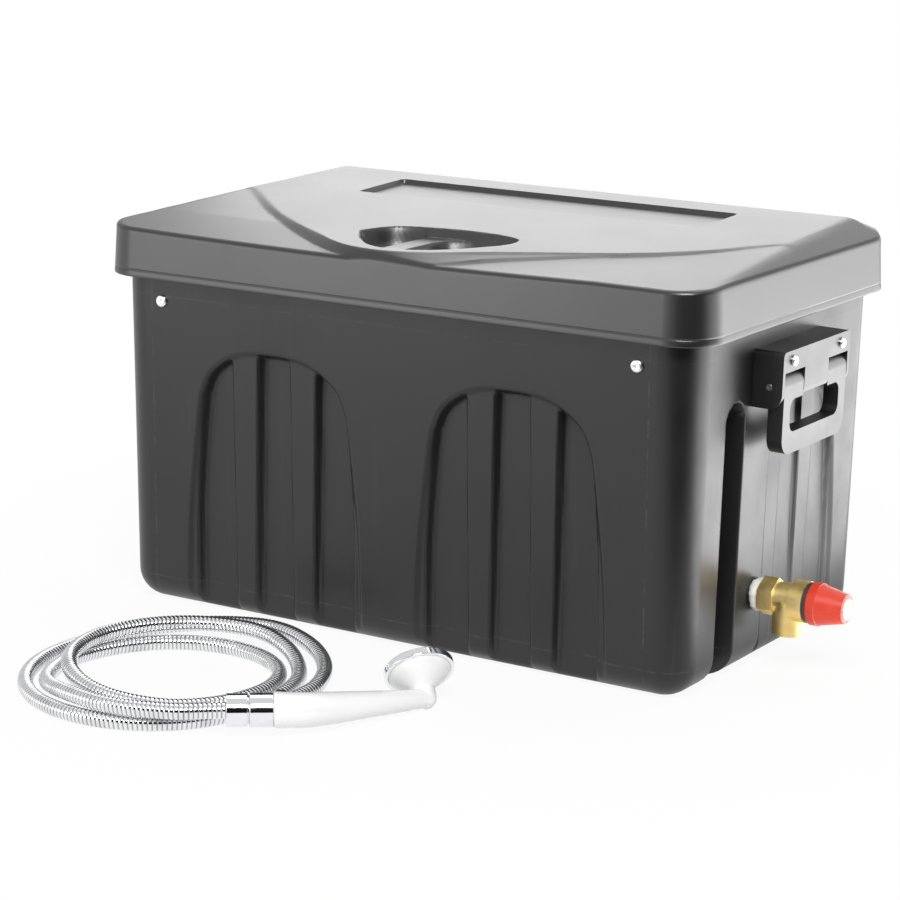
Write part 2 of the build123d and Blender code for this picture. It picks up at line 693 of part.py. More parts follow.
def make_deck():
    """The bent aluminium sheet over the boiler, flanged down inside the front and back walls."""
    grow = DECK_Z * LEAN
    half_y = FOOT_HALF_Y - TUB_WALL + grow - DECK_SHEET
    deck = block(-DECK_HALF_X, DECK_HALF_X, -half_y, half_y, DECK_Z, DECK_Z + DECK_SHEET)
    corner_x = DECK_HALF_X - TUB_CORNER / 2
    for plane in (FRONT, BACK):
        flange = block(-corner_x, corner_x, DECK_LOW, DECK_Z + DECK_SHEET, -TUB_WALL - DECK_SHEET, -TUB_WALL)
        deck = deck + on_wall(plane, flange)
    keep = tapered(FOOT_HALF_X - TUB_WALL, FOOT_HALF_Y - TUB_WALL, TUB_CORNER - TUB_WALL, 0, RIM_TOP)
    deck = deck & keep
    for plane, along, up in front_screw_places():
        deck = deck - on_wall(plane, rod_z(SCREW_R, along, up, -SLOT_DEPTH, OVERRUN))
    return deck


def make_nipple():
    """The brass nipple from the tank through the end wall into the valve."""
    x0 = TANK_RIGHT - TANK_WALL
    bar = rod_x(NIPPLE_R, x0, (HEX_START + HEX_END) / 2, VALVE_Y, VALVE_Z)
    return bar - rod_x(NIPPLE_BORE, x0 - OVERRUN, HEX_END, VALVE_Y, VALVE_Z)


def make_sealant():
    """White sealant pressed round the nipple where it leaves the wall."""
    floor_x = FOOT_HALF_X + VALVE_Z * LEAN - END_GROOVE_DEPTH + FREE_CLEAR
    ring = rod_x(SEALANT_R, floor_x, SEALANT_END, VALVE_Y, VALVE_Z)
    ring = fillet(ring.edges().group_by(Axis.X)[-1], (SEALANT_R - NIPPLE_R) / 2)
    return ring - rod_x(NIPPLE_R, floor_x - OVERRUN, SEALANT_END + OVERRUN, VALVE_Y, VALVE_Z)


def make_valve_body():
    """The brass body: hexagon, neck, bonnet and an outlet socket that points down."""
    middle = (HEX_START + HEX_END) / 2
    under_cap = VALVE_Z - CAP_BASE_R - FREE_CLEAR
    outlet = rod_z(OUTLET_R, OUTLET_X, VALVE_Y, OUTLET_BOTTOM, VALVE_Z)
    outlet = outlet - block(BONNET_END, REACH, -REACH, REACH, under_cap, REACH)
    body = hex_x(HEX_FLATS, HEX_START, HEX_END, VALVE_Y, VALVE_Z)
    body = body + rod_x(NECK_R, HEX_END, BONNET_START, VALVE_Y, VALVE_Z)
    body = body + rod_x(BONNET_R, BONNET_START, BONNET_END, VALVE_Y, VALVE_Z) + outlet
    body = body - rod_x(NIPPLE_R, HEX_START - OVERRUN, middle, VALVE_Y, VALVE_Z)
    body = body - rod_x(FLOW_BORE, middle - OVERRUN, SEAT_X + OVERRUN, VALVE_Y, VALVE_Z)
    body = body - rod_x(SEAT_R + FREE_CLEAR, SEAT_X, BONNET_END + OVERRUN, VALVE_Y, VALVE_Z)
    body = body - rod_z(FLOW_BORE, OUTLET_X, VALVE_Y, OUTLET_BOTTOM, VALVE_Z)
    return body - rod_z(THREAD_R, OUTLET_X, VALVE_Y, OUTLET_BOTTOM - OVERRUN, OUTLET_BOTTOM + OUTLET_SOCKET)


def make_valve_ring():
    """The dark bonnet ring that closes the brass body, guides the stem and carries the cap."""
    end = BONNET_END + RING_THICK
    boss_r = CAP_CONE_R - CAP_WALL - RUN_CLEAR
    ring = rod_x(RING_R, BONNET_END, end, VALVE_Y, VALVE_Z)
    ring = ring + rod_x(boss_r, BONNET_END, end + RING_BOSS, VALVE_Y, VALVE_Z)
    return ring - rod_x(STEM_R + RUN_CLEAR, BONNET_END - OVERRUN, end + REACH, VALVE_Y, VALVE_Z)


def make_valve_stem():
    """The stem with its seat disc, lifted by the cap."""
    seat = rod_x(SEAT_R, SEAT_X + RUN_CLEAR, SEAT_X + SEAT_THICK, VALVE_Y, VALVE_Z)
    return seat + rod_x(STEM_R, SEAT_X + RUN_CLEAR, STEM_END, VALVE_Y, VALVE_Z)


def make_valve_spring():
    """A plain sleeve in the place of the wound spring."""
    x0 = SEAT_X + SEAT_THICK + STEM_LIFT + FREE_CLEAR
    sleeve = rod_x(SPRING_R, x0, BONNET_END, VALVE_Y, VALVE_Z)
    return sleeve - rod_x(SPRING_R - SPRING_WIRE, x0 - OVERRUN, BONNET_END + OVERRUN, VALVE_Y, VALVE_Z)


def cap_profile(inset):
    """Half of the cap's cone in the valve's own frame, set in by a wall."""
    top = CAP_END - CAP_START - inset
    wide = CAP_CONE_R - inset
    return [(0, -inset), (wide, -inset), (wide, CAP_RIM), (CAP_END_R - inset, top), (0, top)]


def make_cap():
    """The red cap: a hollow cone with a raised rim round its foot."""
    cone = revolve(Plane.XZ * make_face(Polyline(*cap_profile(0), close=True)), Axis.Z)
    hollow = revolve(Plane.XZ * make_face(Polyline(*cap_profile(CAP_WALL), close=True)), Axis.Z)
    length = CAP_END - CAP_START
    cone = cone + rod_z(CAP_BASE_R, 0, 0, 0, CAP_RIM) - hollow
    cone = cone - rod_z(CAP_DISC_R, 0, 0, length - CAP_DISC_THICK / 2, length + OVERRUN)
    return Pos(CAP_START, VALVE_Y, VALVE_Z) * Rot(0, 90, 0) * cone


def make_cap_disc():
    """The white disc let into the cap's end."""
    x0 = CAP_END - CAP_DISC_THICK / 2
    return rod_x(CAP_DISC_R, x0, x0 + CAP_DISC_THICK, VALVE_Y, VALVE_Z)


def make_tank():
    """The stainless boiler: a drawn cylinder with rounded ends."""
    outer = rod_x(TANK_R, TANK_LEFT, TANK_RIGHT, 0, TANK_Z)
    outer = fillet(outer.edges(), TANK_ROUND)
    inner = rod_x(TANK_R - TANK_WALL, TANK_LEFT + TANK_WALL, TANK_RIGHT - TANK_WALL, 0, TANK_Z)
    inner = fillet(inner.edges(), TANK_ROUND - TANK_WALL)
    tank = outer - inner
    tank = tank - rod_x(NIPPLE_R, TANK_RIGHT - TANK_ROUND, TANK_RIGHT + OVERRUN, VALVE_Y, VALVE_Z)
    for y, z in ((COLD_Y, COLD_Z), (HOT_Y, HOT_Z)):
        tank = tank - rod_x(PIPE_R, TANK_LEFT - OVERRUN, TANK_LEFT + TANK_ROUND, y, z)
    hole_r = BOLT_CIRCLE - BOLT_HEAD_R * 2
    return tank - rod_x(hole_r, TANK_LEFT - OVERRUN, TANK_LEFT + TANK_ROUND, 0, TANK_Z)


def make_jacket():
    """The foam jacket round the boiler, closed at the valve end."""
    jacket = rod_x(JACKET_R, JACKET_LEFT, JACKET_RIGHT, 0, TANK_Z)
    core = rod_x(TANK_R + FREE_CLEAR, JACKET_LEFT - OVERRUN, TANK_RIGHT + FREE_CLEAR, 0, TANK_Z)
    return jacket - core - rod_x(NIPPLE_R + FREE_CLEAR, TANK_RIGHT, JACKET_RIGHT + OVERRUN, VALVE_Y, VALVE_Z)


def make_saddles():
    """Two foam saddles that carry the boiler on the tub's floor."""
    saddles = []
    for side in (-1, 1):
        x = side * SADDLE_X
        half = SADDLE_WIDTH / 2
        foot = block(x - half, x + half, -SADDLE_HALF, SADDLE_HALF, TUB_FLOOR, SADDLE_TOP)
        lower = foot.edges().filter_by(Axis.X).group_by(Axis.Z)[0]
        foot = fillet(lower, FOOT_ROUND)
        foot = foot - rod_x(JACKET_R, x - SADDLE_WIDTH, x + SADDLE_WIDTH, 0, TANK_Z)
        for y in strap_screw_ys():
            foot = foot - rod_z(STRAP_SCREW_R, x, y, SADDLE_TOP - STRAP_SCREW_LENGTH, SADDLE_TOP + OVERRUN)
        saddles.append(foot)
    return saddles


def strap_screw_ys():
    """The strap screws' places across the saddle."""
    grip = (JACKET_R ** 2 - (TANK_Z - SADDLE_TOP) ** 2) ** 0.5
    middle = (grip + STRAP_THICK + SADDLE_HALF) / 2
    return (-middle, middle)


def make_straps():
    """Two steel straps over the boiler, with feet on the saddles."""
    straps = []
    for side in (-1, 1):
        x0 = side * SADDLE_X - STRAP_WIDTH / 2
        x1 = x0 + STRAP_WIDTH
        ring = rod_x(JACKET_R + STRAP_THICK, x0, x1, 0, TANK_Z)
        foot = block(x0, x1, -SADDLE_HALF, SADDLE_HALF, SADDLE_TOP, SADDLE_TOP + STRAP_THICK)
        strap = ring + foot - rod_x(JACKET_R, x0 - OVERRUN, x1 + OVERRUN, 0, TANK_Z)
        strap = strap - block(x0 - OVERRUN, x1 + OVERRUN, -REACH, REACH, -REACH, SADDLE_TOP)
        for y in strap_screw_ys():
            strap = strap - rod_z(STRAP_SCREW_R, (x0 + x1) / 2, y, 0, REACH)
        straps.append(strap)
    return straps


def make_strap_screws():
    """Four screws that hold the straps' feet."""
    screws = []
    top = SADDLE_TOP + STRAP_THICK
    for side in (-1, 1):
        for y in strap_screw_ys():
            x = side * SADDLE_X
            shank = rod_z(STRAP_SCREW_R, x, y, SADDLE_TOP - STRAP_SCREW_LENGTH, top)
            screws.append(shank + rod_z(STRAP_SCREW_R * 2, x, y, top, top + STRAP_SCREW_R))
    return screws


def flange_ring(x0, x1):
    """A disc on the boiler's left end with its bolt holes."""
    disc = rod_x(FLANGE_R, x0, x1, 0, TANK_Z)
    for y, z in bolt_places():
        disc = disc - rod_x(BOLT_R, x0 - OVERRUN, x1 + OVERRUN, y, z)
    return disc


def bolt_places():
    """The flange bolts' places round the boiler's axis."""
    step = 2 * pi / FLANGE_BOLTS
    return [(BOLT_CIRCLE * cos(step * i), TANK_Z + BOLT_CIRCLE * sin(step * i)) for i in range(FLANGE_BOLTS)]


def flange_face():
    """Where the flange's outer face lies."""
    return TANK_LEFT - GASKET_THICK - FLANGE_THICK


def make_flange():
    """The heater's brass flange with holes for the element's two legs."""
    flange = flange_ring(flange_face(), TANK_LEFT - GASKET_THICK)
    for y in (-ELEMENT_HALF, ELEMENT_HALF):
        flange = flange - rod_x(ELEMENT_R, flange_face() - OVERRUN, TANK_LEFT, y, TANK_Z)
    return flange


def make_gasket():
    """The rubber gasket under the flange."""
    gasket = flange_ring(TANK_LEFT - GASKET_THICK, TANK_LEFT)
    return gasket - rod_x(BOLT_CIRCLE - BOLT_HEAD_R * 2, TANK_LEFT - REACH, TANK_LEFT + OVERRUN, 0, TANK_Z)


def make_element():
    """The heating element: one tube bent back on itself."""
    x0 = flange_face() - FLANGE_THICK / 2
    x1 = TANK_LEFT + ELEMENT_REACH
    path = Polyline((x0, -ELEMENT_HALF, TANK_Z), (x1, -ELEMENT_HALF, TANK_Z))
    tip = (x1 + ELEMENT_HALF, 0, TANK_Z)
    bend = ThreePointArc((x1, -ELEMENT_HALF, TANK_Z), tip, (x1, ELEMENT_HALF, TANK_Z))
    back = Line((x1, ELEMENT_HALF, TANK_Z), (x0, ELEMENT_HALF, TANK_Z))
    route = Wire([*path.edges(), *bend.edges(), *back.edges()])
    start = Plane(origin=(x0, -ELEMENT_HALF, TANK_Z), z_dir=(1, 0, 0))
    return sweep(start * Circle(ELEMENT_R), path=route)


def make_flange_bolts():
    """Six bolts through the flange and gasket into the boiler's end."""
    bolts = []
    for y, z in bolt_places():
        shank = rod_x(BOLT_R, flange_face(), TANK_LEFT, y, z)
        bolts.append(shank + hex_x(2 * BOLT_HEAD_R, flange_face() - BOLT_HEAD, flange_face(), y, z))
    return bolts


def make_thermostat():
    """The thermostat block on the flange, between the element's legs' ends."""
    x1 = flange_face() - BOLT_HEAD - FREE_CLEAR
    x0 = x1 - THERMOSTAT_DEEP
    low = TANK_Z - THERMOSTAT_HALF
    body = block(x0, x1, -THERMOSTAT_HALF, THERMOSTAT_HALF, low, low + 2 * THERMOSTAT_HALF)
    post = rod_x(STEM_R * 2, x1, flange_face(), 0, TANK_Z)
    return body + post - rod_x(STEM_R, x1, flange_face() + OVERRUN, 0, TANK_Z)


def make_cover():
    """The terminal cover over the thermostat."""
    x1 = flange_face()
    x0 = x1 - COVER_DEEP
    low = TANK_Z - COVER_HALF
    cover = block(x0, x1, -COVER_HALF, COVER_HALF, low, low + 2 * COVER_HALF)
    inner = COVER_HALF - COVER_WALL
    return cover - block(x0 + COVER_WALL, x1 + OVERRUN, -inner, inner, TANK_Z - inner, TANK_Z + inner)


def left_wall_x(z):
    """The floor of the grooves in the left end wall at a height."""
    return -(FOOT_HALF_X + z * LEAN - END_GROOVE_DEPTH)


def make_cold_pipe():
    """The cold pipe from its fitting into the boiler."""
    x0 = left_wall_x(COLD_Z) + FITTING_IN
    pipe = rod_x(PIPE_R, x0, TANK_LEFT + TANK_WALL, COLD_Y, COLD_Z)
    return pipe - rod_x(PIPE_BORE, x0 - OVERRUN, TANK_LEFT + TANK_ROUND, COLD_Y, COLD_Z)


def make_hot_pipe():
    """The hot pipe, with a riser inside the boiler that draws from the top."""
    x0 = left_wall_x(HOT_Z) + FITTING_IN
    x1 = TANK_LEFT + TANK_ROUND + PIPE_R
    pipe = rod_x(PIPE_R, x0, x1 + 2 * PIPE_R, HOT_Y, HOT_Z)
    pipe = pipe + rod_z(RISER_R, x1, HOT_Y, HOT_Z, HOT_RISE)
    pipe = pipe - rod_x(PIPE_BORE, x0 - OVERRUN, x1 + PIPE_R, HOT_Y, HOT_Z)
    return pipe - rod_z(RISER_BORE, x1, HOT_Y, HOT_Z, HOT_RISE + OVERRUN)


def fitting_places():
    """The two bulkhead fittings' places on the left end."""
    return [(COLD_Y, COLD_Z), (HOT_Y, HOT_Z)]


def make_fittings():
    """Two brass bulkhead fittings with a flange outside the wall."""
    fittings = []
    for y, z in fitting_places():
        wall = left_wall_x(z) - WASHER_THICK
        inner = left_wall_x(z) + FITTING_IN
        body = rod_x(THREAD_R, wall - FITTING_OUT, inner, y, z)
        body = body + rod_x(FITTING_FLANGE_R, wall - FITTING_FLANGE, wall, y, z)
        fittings.append(body - rod_x(PIPE_BORE, wall - REACH, inner + OVERRUN, y, z))
    return fittings


def make_fitting_washers():
    """Rubber washers between the fittings' flanges and the wall."""
    washers = []
    for y, z in fitting_places():
        wall = left_wall_x(z)
        ring = rod_x(FITTING_FLANGE_R, wall - WASHER_THICK, wall - FREE_CLEAR, y, z)
        washers.append(ring - rod_x(THREAD_R, wall - REACH, wall + OVERRUN, y, z))
    return washers


def make_fitting_nuts():
    """Back nuts of the bulkhead fittings inside the wall."""
    nuts = []
    for y, z in fitting_places():
        x0 = left_wall_x(z) + TUB_WALL + FREE_CLEAR
        nut = hex_x(2 * BACKNUT_R * cos(pi / 6), x0, x0 + BACKNUT_THICK, y, z)
        nuts.append(nut - rod_x(THREAD_R, x0 - OVERRUN, x0 + REACH, y, z))
    return nuts


def make_gland():
    """The cable gland: a domed head outside and a thread through the wall."""
    wall = left_wall_x(GLAND_Z) - FREE_CLEAR
    head = rod_x(GLAND_HEAD_R, wall - GLAND_OUT, wall, GLAND_Y, GLAND_Z)
    head = fillet(head.edges().group_by(Axis.X)[0], GLAND_HEAD_R / 3)
    gland = head + rod_x(GLAND_R, wall, wall + GLAND_IN, GLAND_Y, GLAND_Z)
    return gland - rod_x(GLAND_BORE, wall - REACH, wall + REACH, GLAND_Y, GLAND_Z)


def make_gland_nut():
    """The gland's lock nut inside the wall."""
    x0 = left_wall_x(GLAND_Z) + TUB_WALL + FREE_CLEAR
    nut = hex_x(2 * GLAND_HEAD_R, x0, x0 + BACKNUT_THICK, GLAND_Y, GLAND_Z)
    return nut - rod_x(GLAND_R, x0 - OVERRUN, x0 + REACH, GLAND_Y, GLAND_Z)


def make_switch_frame():
    """The switch's frame and body, snapped into the left end wall."""
    frame = block(-SWITCH_HALF_Y, SWITCH_HALF_Y, -SWITCH_HALF_Z, SWITCH_HALF_Z, RUN_CLEAR, SWITCH_FRAME)
    body = block(-SWITCH_BODY_Y, SWITCH_BODY_Y, -SWITCH_BODY_Z, SWITCH_BODY_Z, -SWITCH_DEEP, SWITCH_FRAME)
    room_y = ROCKER_HALF_Y + FREE_CLEAR
    room_z = ROCKER_HALF_Z + 2 * FREE_CLEAR
    room = block(-room_y, room_y, -room_z, room_z, -ROCKER_IN - ROCKER_DIP, OVERRUN)
    return on_wall(LEFT, Pos(-SWITCH_Y, SWITCH_Z, 0) * (frame + body - room))


def make_rocker():
    """The rocker: a shallow V-topped key that tips about its middle."""
    tips = [(-ROCKER_HALF_Z, ROCKER_OUT), (0, ROCKER_OUT - ROCKER_DIP),
            (ROCKER_HALF_Z, ROCKER_OUT - ROCKER_LOW_DIP), (ROCKER_WAIST_Z, -ROCKER_WAIST_IN),
            (0, -ROCKER_IN), (-ROCKER_WAIST_Z, -ROCKER_WAIST_IN)]
    side = make_face(Polyline(*tips, close=True))
    key = extrude(side, amount=ROCKER_HALF_Y, both=True)
    turned = Plane(origin=(0, 0, 0), x_dir=(0, 1, 0), z_dir=(1, 0, 0))
    return on_wall(LEFT, Pos(-SWITCH_Y, SWITCH_Z, 0) * (turned.location * key))


def ease(share):
    """A smooth rise from nought to one."""
    share = min(1.0, max(0.0, share))
    return share * share * (3 - 2 * share)


def smooth(shares, step):
    """A smooth curve through a table of shares."""
    i = min(int(step), len(shares) - 2)
    f = step - i
    p1, p2 = shares[i], shares[i + 1]
    p0 = shares[i - 1] if i > 0 else p2
    p3 = shares[i + 2] if i + 2 < len(shares) else p2
    bend = (2 * p0 - 5 * p1 + 4 * p2 - p3) * f ** 2 + (3 * p1 - p0 - 3 * p2 + p3) * f ** 3
    return (2 * p1 + (p2 - p0) * f + bend) / 2


def stepped(shares, step):
    """A table of shares joined by smooth rises that never overshoot."""
    i = min(int(step), len(shares) - 2)
    return shares[i] + (shares[i + 1] - shares[i]) * ease(step - i)


def coil_point(step):
    """The hose's middle line on the coil, clockwise seen from above."""
    radius = COIL_OUTER * smooth(COIL_SHARES, step)
    angle = radians(COIL_START_DEG) - 2 * pi * step / COIL_STEPS
    height = HOSE_R + FLOOR_GAP + LAYER_RISE * stepped(LAYER_SHARES, step)
    return (COIL_X + radius * cos(angle), COIL_Y + radius * sin(angle), height)


def hose_points():
    """The hose's middle line: a straight lead from the hand shower, the coil and a straight tail."""
    count = HOSE_RIBS * 5
    curve = [coil_point(COIL_END_STEP * i / count) for i in range(count + 1)]
    start = curve[0]
    heading = (sin(radians(COIL_START_DEG)), -cos(radians(COIL_START_DEG)))
    lead = []
    for i in range(HOSE_RIBS, 0, -1):
        back = LEAD_LENGTH * i / HOSE_RIBS
        lead.append((start[0] - heading[0] * back, start[1] - heading[1] * back, start[2]))
    last, before = curve[-1], curve[-2]
    run = dist(last[:2], before[:2])
    slope = [(last[0] - before[0]) / run, (last[1] - before[1]) / run]
    tail = []
    for i in range(1, HOSE_RIBS + 1):
        on = TAIL_LENGTH * i / HOSE_RIBS
        tail.append((last[0] + slope[0] * on, last[1] + slope[1] * on, last[2]))
    return lead + curve + tail


def even_points(points, count):
    """Points at equal steps along a line of points."""
    lengths = [0.0]
    for a, b in zip(points, points[1:]):
        lengths.append(lengths[-1] + dist(a, b))
    result = []
    k = 0
    for i in range(count):
        want = lengths[-1] * i / (count - 1)
        while k < len(lengths) - 2 and lengths[k + 1] < want:
            k = k + 1
        share = (want - lengths[k]) / (lengths[k + 1] - lengths[k])
        result.append(tuple(a + (b - a) * share for a, b in zip(points[k], points[k + 1])))
    return result, lengths[-1]


def hose_circle(points, i, radius):
    """A circle square to the hose at one of its points, its X axis kept level."""
    a = points[max(0, i - 1)]
    b = points[min(len(points) - 1, i + 1)]
    along = (b[0] - a[0], b[1] - a[1], b[2] - a[2])
    level = (along[1], -along[0], 0)
    return Plane(origin=points[i], x_dir=level, z_dir=along) * Circle(radius)


def make_hose():
    """The ribbed metal hose, one unbroken tube with its bore."""
    points, length = even_points(hose_points(), HOSE_RIBS * 4 + 1)
    gap = REACH
    apart = int(4 * HOSE_R / (length / len(points))) + 1
    for i, a in enumerate(points):
        for b in points[i + apart:]:
            gap = min(gap, dist(a, b) - 2 * HOSE_R)
    print("hose length", round(length, 1), "least gap to itself", round(gap, 2))
    heights = [HOSE_R if (i % 4) in (1, 2) else HOSE_R - RIB_DEPTH for i in range(len(points))]
    outer = loft([hose_circle(points, i, heights[i]) for i in range(len(points))], ruled=True)
    picks = range(0, len(points), 4)
    inner = loft([hose_circle(points, i, HOSE_BORE) for i in picks], ruled=True)
    return outer - inner, points


def shower_frame():
    """The hand shower's own frame: X along its handle, Z up, at the hose nut's free face."""
    points = hose_points()
    first = points[0]
    angle = radians(SHOWER_DEG)
    return Plane(origin=first, x_dir=(cos(angle), sin(angle), 0), z_dir=(0, 0, 1))


def tail_frame(points):
    """The frame of the hose's far end: X along the hose, outwards."""
    last, before = points[-1], points[-2]
    return Plane(origin=last, x_dir=(last[0] - before[0], last[1] - before[1], 0), z_dir=(0, 0, 1))


def hose_nut(radius):
    """A sleeve nut that takes the hose's end, in its own frame."""
    nut = rod_x(radius, 0, HOSE_NUT_LENGTH, 0, 0)
    nut = fillet(nut.edges(), radius / 24)
    nut = nut - rod_x(HOSE_R, -OVERRUN, NUT_OVERLAP, 0, 0)
    nut = nut - rod_x(HOSE_BORE, 0, HOSE_NUT_LENGTH, 0, 0)
    return nut - rod_x(THREAD_R, NUT_OVERLAP + WASHER_LENGTH, HOSE_NUT_LENGTH + OVERRUN, 0, 0)


def hose_washer():
    """The rubber washer inside a hose nut, in the nut's frame."""
    x0 = NUT_OVERLAP + WASHER_LENGTH
    return rod_x(THREAD_R, x0, x0 + WASHER_LENGTH, 0, 0) - rod_x(WASHER_BORE, 0, HOSE_NUT_LENGTH, 0, 0)


def make_collar():
    """The hand shower's chrome collar with the spigot that the hose nut takes."""
    x0 = HOSE_NUT_LENGTH + WASHER_LENGTH
    collar = rod_x(COLLAR_R, x0, x0 + COLLAR_LENGTH, 0, 0)
    collar = fillet(collar.edges(), COLLAR_R / 12)
    spigot = rod_x(THREAD_R, NUT_OVERLAP + 2 * WASHER_LENGTH, x0 + OVERRUN, 0, 0)
    return collar + spigot - rod_x(SHOWER_BORE, 0, x0 + COLLAR_LENGTH + OVERRUN, 0, 0)


def shower_start():
    """Where the white handle starts along the hand shower."""
    return HOSE_NUT_LENGTH + WASHER_LENGTH + COLLAR_LENGTH


def grip_places():
    """The white handle's middle line, from the collar down to the elbow under the head."""
    drop = hose_points()[0][2] - ELBOW_Z
    places = []
    for along, side in zip(GRIP_PATH_SHARES, GRIP_SIDE_SHARES):
        places.append((shower_start() + along * GRIP_LENGTH, side * GRIP_SIDE, -along * drop))
    return places


def face_frame():
    """The spray head's frame: Z out of the spray face, a stem's length from the elbow."""
    turn = radians(FACE_TURN_DEG)
    lift = radians(FACE_LIFT_DEG)
    out = (-sin(turn) * cos(lift), cos(turn) * cos(lift), sin(lift))
    elbow = grip_places()[-1]
    origin = [e + STEM_LENGTH * o for e, o in zip(elbow, out)]
    return Plane(origin=tuple(origin), x_dir=(1, 0, 0), z_dir=out)


def head_profile():
    """Half of the head's back: rim, dome, stem and round elbow, in the face's frame."""
    inner = FACE_R - RING_WALL
    points = [(0, 0), (inner, 0), (inner, -RING_WIDTH)]
    for narrow, deep in zip(DOME_NARROW_SHARES, DOME_DEEP_SHARES):
        points.append((inner + (STEM_TUBE_R - inner) * narrow, -RING_WIDTH - DOME_DEEP * deep))
    for step in range(3):
        angle = pi / 6 * step
        points.append((STEM_TUBE_R * cos(angle), -STEM_LENGTH - STEM_TUBE_R * sin(angle)))
    return points + [(0, -STEM_LENGTH - STEM_TUBE_R)]


def make_grip():
    """The white handle, tapering to an elbow that carries the head's domed back."""
    places = grip_places()
    rings = []
    for i, girth in enumerate(GRIP_GIRTH_SHARES):
        a = places[max(0, i - 1)]
        b = places[min(len(places) - 1, i + 1)]
        heading = (1, 0, 0) if i == 0 else (b[0] - a[0], b[1] - a[1], b[2] - a[2])
        rings.append(Plane(origin=places[i], x_dir=(0, 0, 1), z_dir=heading) * Circle(GRIP_R * girth))
    back = revolve(Plane.XZ * make_face(Polyline(*head_profile(), close=True)), Axis.Z)
    return loft(rings) + face_frame().location * back


def make_shower_ring():
    """The chrome ring round the spray face."""
    ring = rod_z(FACE_R, 0, 0, -RING_WIDTH, 0)
    ring = ring - rod_z(FACE_R - RING_WALL, 0, 0, -RING_WIDTH - OVERRUN, OVERRUN)
    return face_frame().location * ring


def spray_height(share):
    """The spray face's height over the ring's edge at a share of its radius."""
    if share < SPRAY_SHOULDER_SHARE:
        return SPRAY_EDGE + SPRAY_BULGE + (SPRAY_SHOULDER_RISE - SPRAY_BULGE) * share / SPRAY_SHOULDER_SHARE
    return SPRAY_EDGE + SPRAY_SHOULDER_RISE * (1 - share) / (1 - SPRAY_SHOULDER_SHARE)


def make_spray():
    """The white spray face: a low dome with rings of small nozzles."""
    inner = FACE_R - RING_WALL
    profile = [(0, 0), (inner, 0)]
    for share in (1, SPRAY_SHOULDER_SHARE, 0):
        profile.append((inner * share, spray_height(share)))
    face = revolve(Plane.XZ * make_face(Polyline(*profile, close=True)), Axis.Z)
    for share, count in zip(NOZZLE_CIRCLE_SHARES, NOZZLE_COUNTS):
        for i in range(count):
            angle = 2 * pi * i / count
            place = (inner * share * cos(angle), inner * share * sin(angle))
            face = face + rod_z(NOZZLE_R, place[0], place[1], RUN_CLEAR, spray_height(share) + NOZZLE_OUT)
    return face_frame().location * face


def save(name, shape):
    """Writes one node; a list becomes a group of separate solids."""
    if isinstance(shape, (list, tuple)):
        shape = Compound(children=[Part() + s for s in shape])
    export_step(shape, "parts/" + name + ".step")


def main():
    """Builds every node."""
    os.makedirs("parts", exist_ok=True)
    save("tub", make_tub())
    save("lid", make_lid())
    save("hinge_pins", make_hinge_pins())
    for name, plane in (("right", RIGHT), ("left", LEFT)):
        save("handle_base_" + name, on_wall(plane, handle_base()))
        save("handle_bail_" + name, on_wall(plane, handle_bail()))
        save("handle_pins_" + name, [on_wall(plane, pin) for pin in handle_pins()])
    long_screw = HANDLE_PROUD + TUB_WALL + 2 * NUT_HEIGHT
    short_screw = TUB_WALL + DECK_SHEET + 2 * NUT_HEIGHT
    save("handle_screws", placed(handle_screw_places(), button_screw(HEAD_R, HANDLE_PROUD, long_screw)))
    save("handle_nuts", placed(handle_screw_places(), wall_nut(TUB_WALL)))
    save("deck_screws", placed(front_screw_places(), button_screw(FRONT_HEAD_R, 0, short_screw)))
    save("deck_nuts", placed(front_screw_places(), wall_nut(TUB_WALL + DECK_SHEET)))
    save("inner_deck", make_deck())
    save("valve_nipple", make_nipple())
    save("valve_sealant", make_sealant())
    save("valve_body", make_valve_body())
    save("valve_ring", make_valve_ring())
    save("valve_stem", make_valve_stem())
    save("valve_spring", make_valve_spring())
    save("valve_cap", make_cap())
    save("valve_cap_disc", make_cap_disc())
    save("boiler_tank", make_tank())
    save("boiler_jacket", make_jacket())
    save("boiler_saddles", make_saddles())
    save("boiler_straps", make_straps())
    save("strap_screws", make_strap_screws())
    save("heater_flange", make_flange())
    save("heater_gasket", make_gasket())
    save("heater_element", make_element())
    save("flange_bolts", make_flange_bolts())
    save("thermostat", make_thermostat())
    save("terminal_cover", make_cover())
    save("cold_pipe", make_cold_pipe())
    save("hot_pipe", make_hot_pipe())
    save("bulkhead_fittings", make_fittings())
    save("bulkhead_washers", make_fitting_washers())
    save("bulkhead_nuts", make_fitting_nuts())
    save("cable_gland", make_gland())
    save("gland_nut", make_gland_nut())
    save("switch_frame", make_switch_frame())
    save("switch_rocker", make_rocker())
    hose, points = make_hose()
    save("hose", hose)
    shower = shower_frame().location
    far = tail_frame(points).location
    save("hose_nut", shower * hose_nut(HOSE_NUT_R))
    save("hose_end_nut", far * Pos(-NUT_OVERLAP, 0, 0) * hose_nut(END_NUT_R))
    save("hose_washers", [shower * hose_washer(), far * Pos(-NUT_OVERLAP, 0, 0) * hose_washer()])
    save("shower_collar", shower * make_collar())
    save("shower_grip", shower * make_grip())
    save("shower_ring", shower * make_shower_ring())
    save("shower_spray", shower * make_spray())


main()
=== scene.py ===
import json
from math import cos, pi, radians, sin

import bmesh
import bpy
import numpy as np
from mathutils import Matrix, Vector

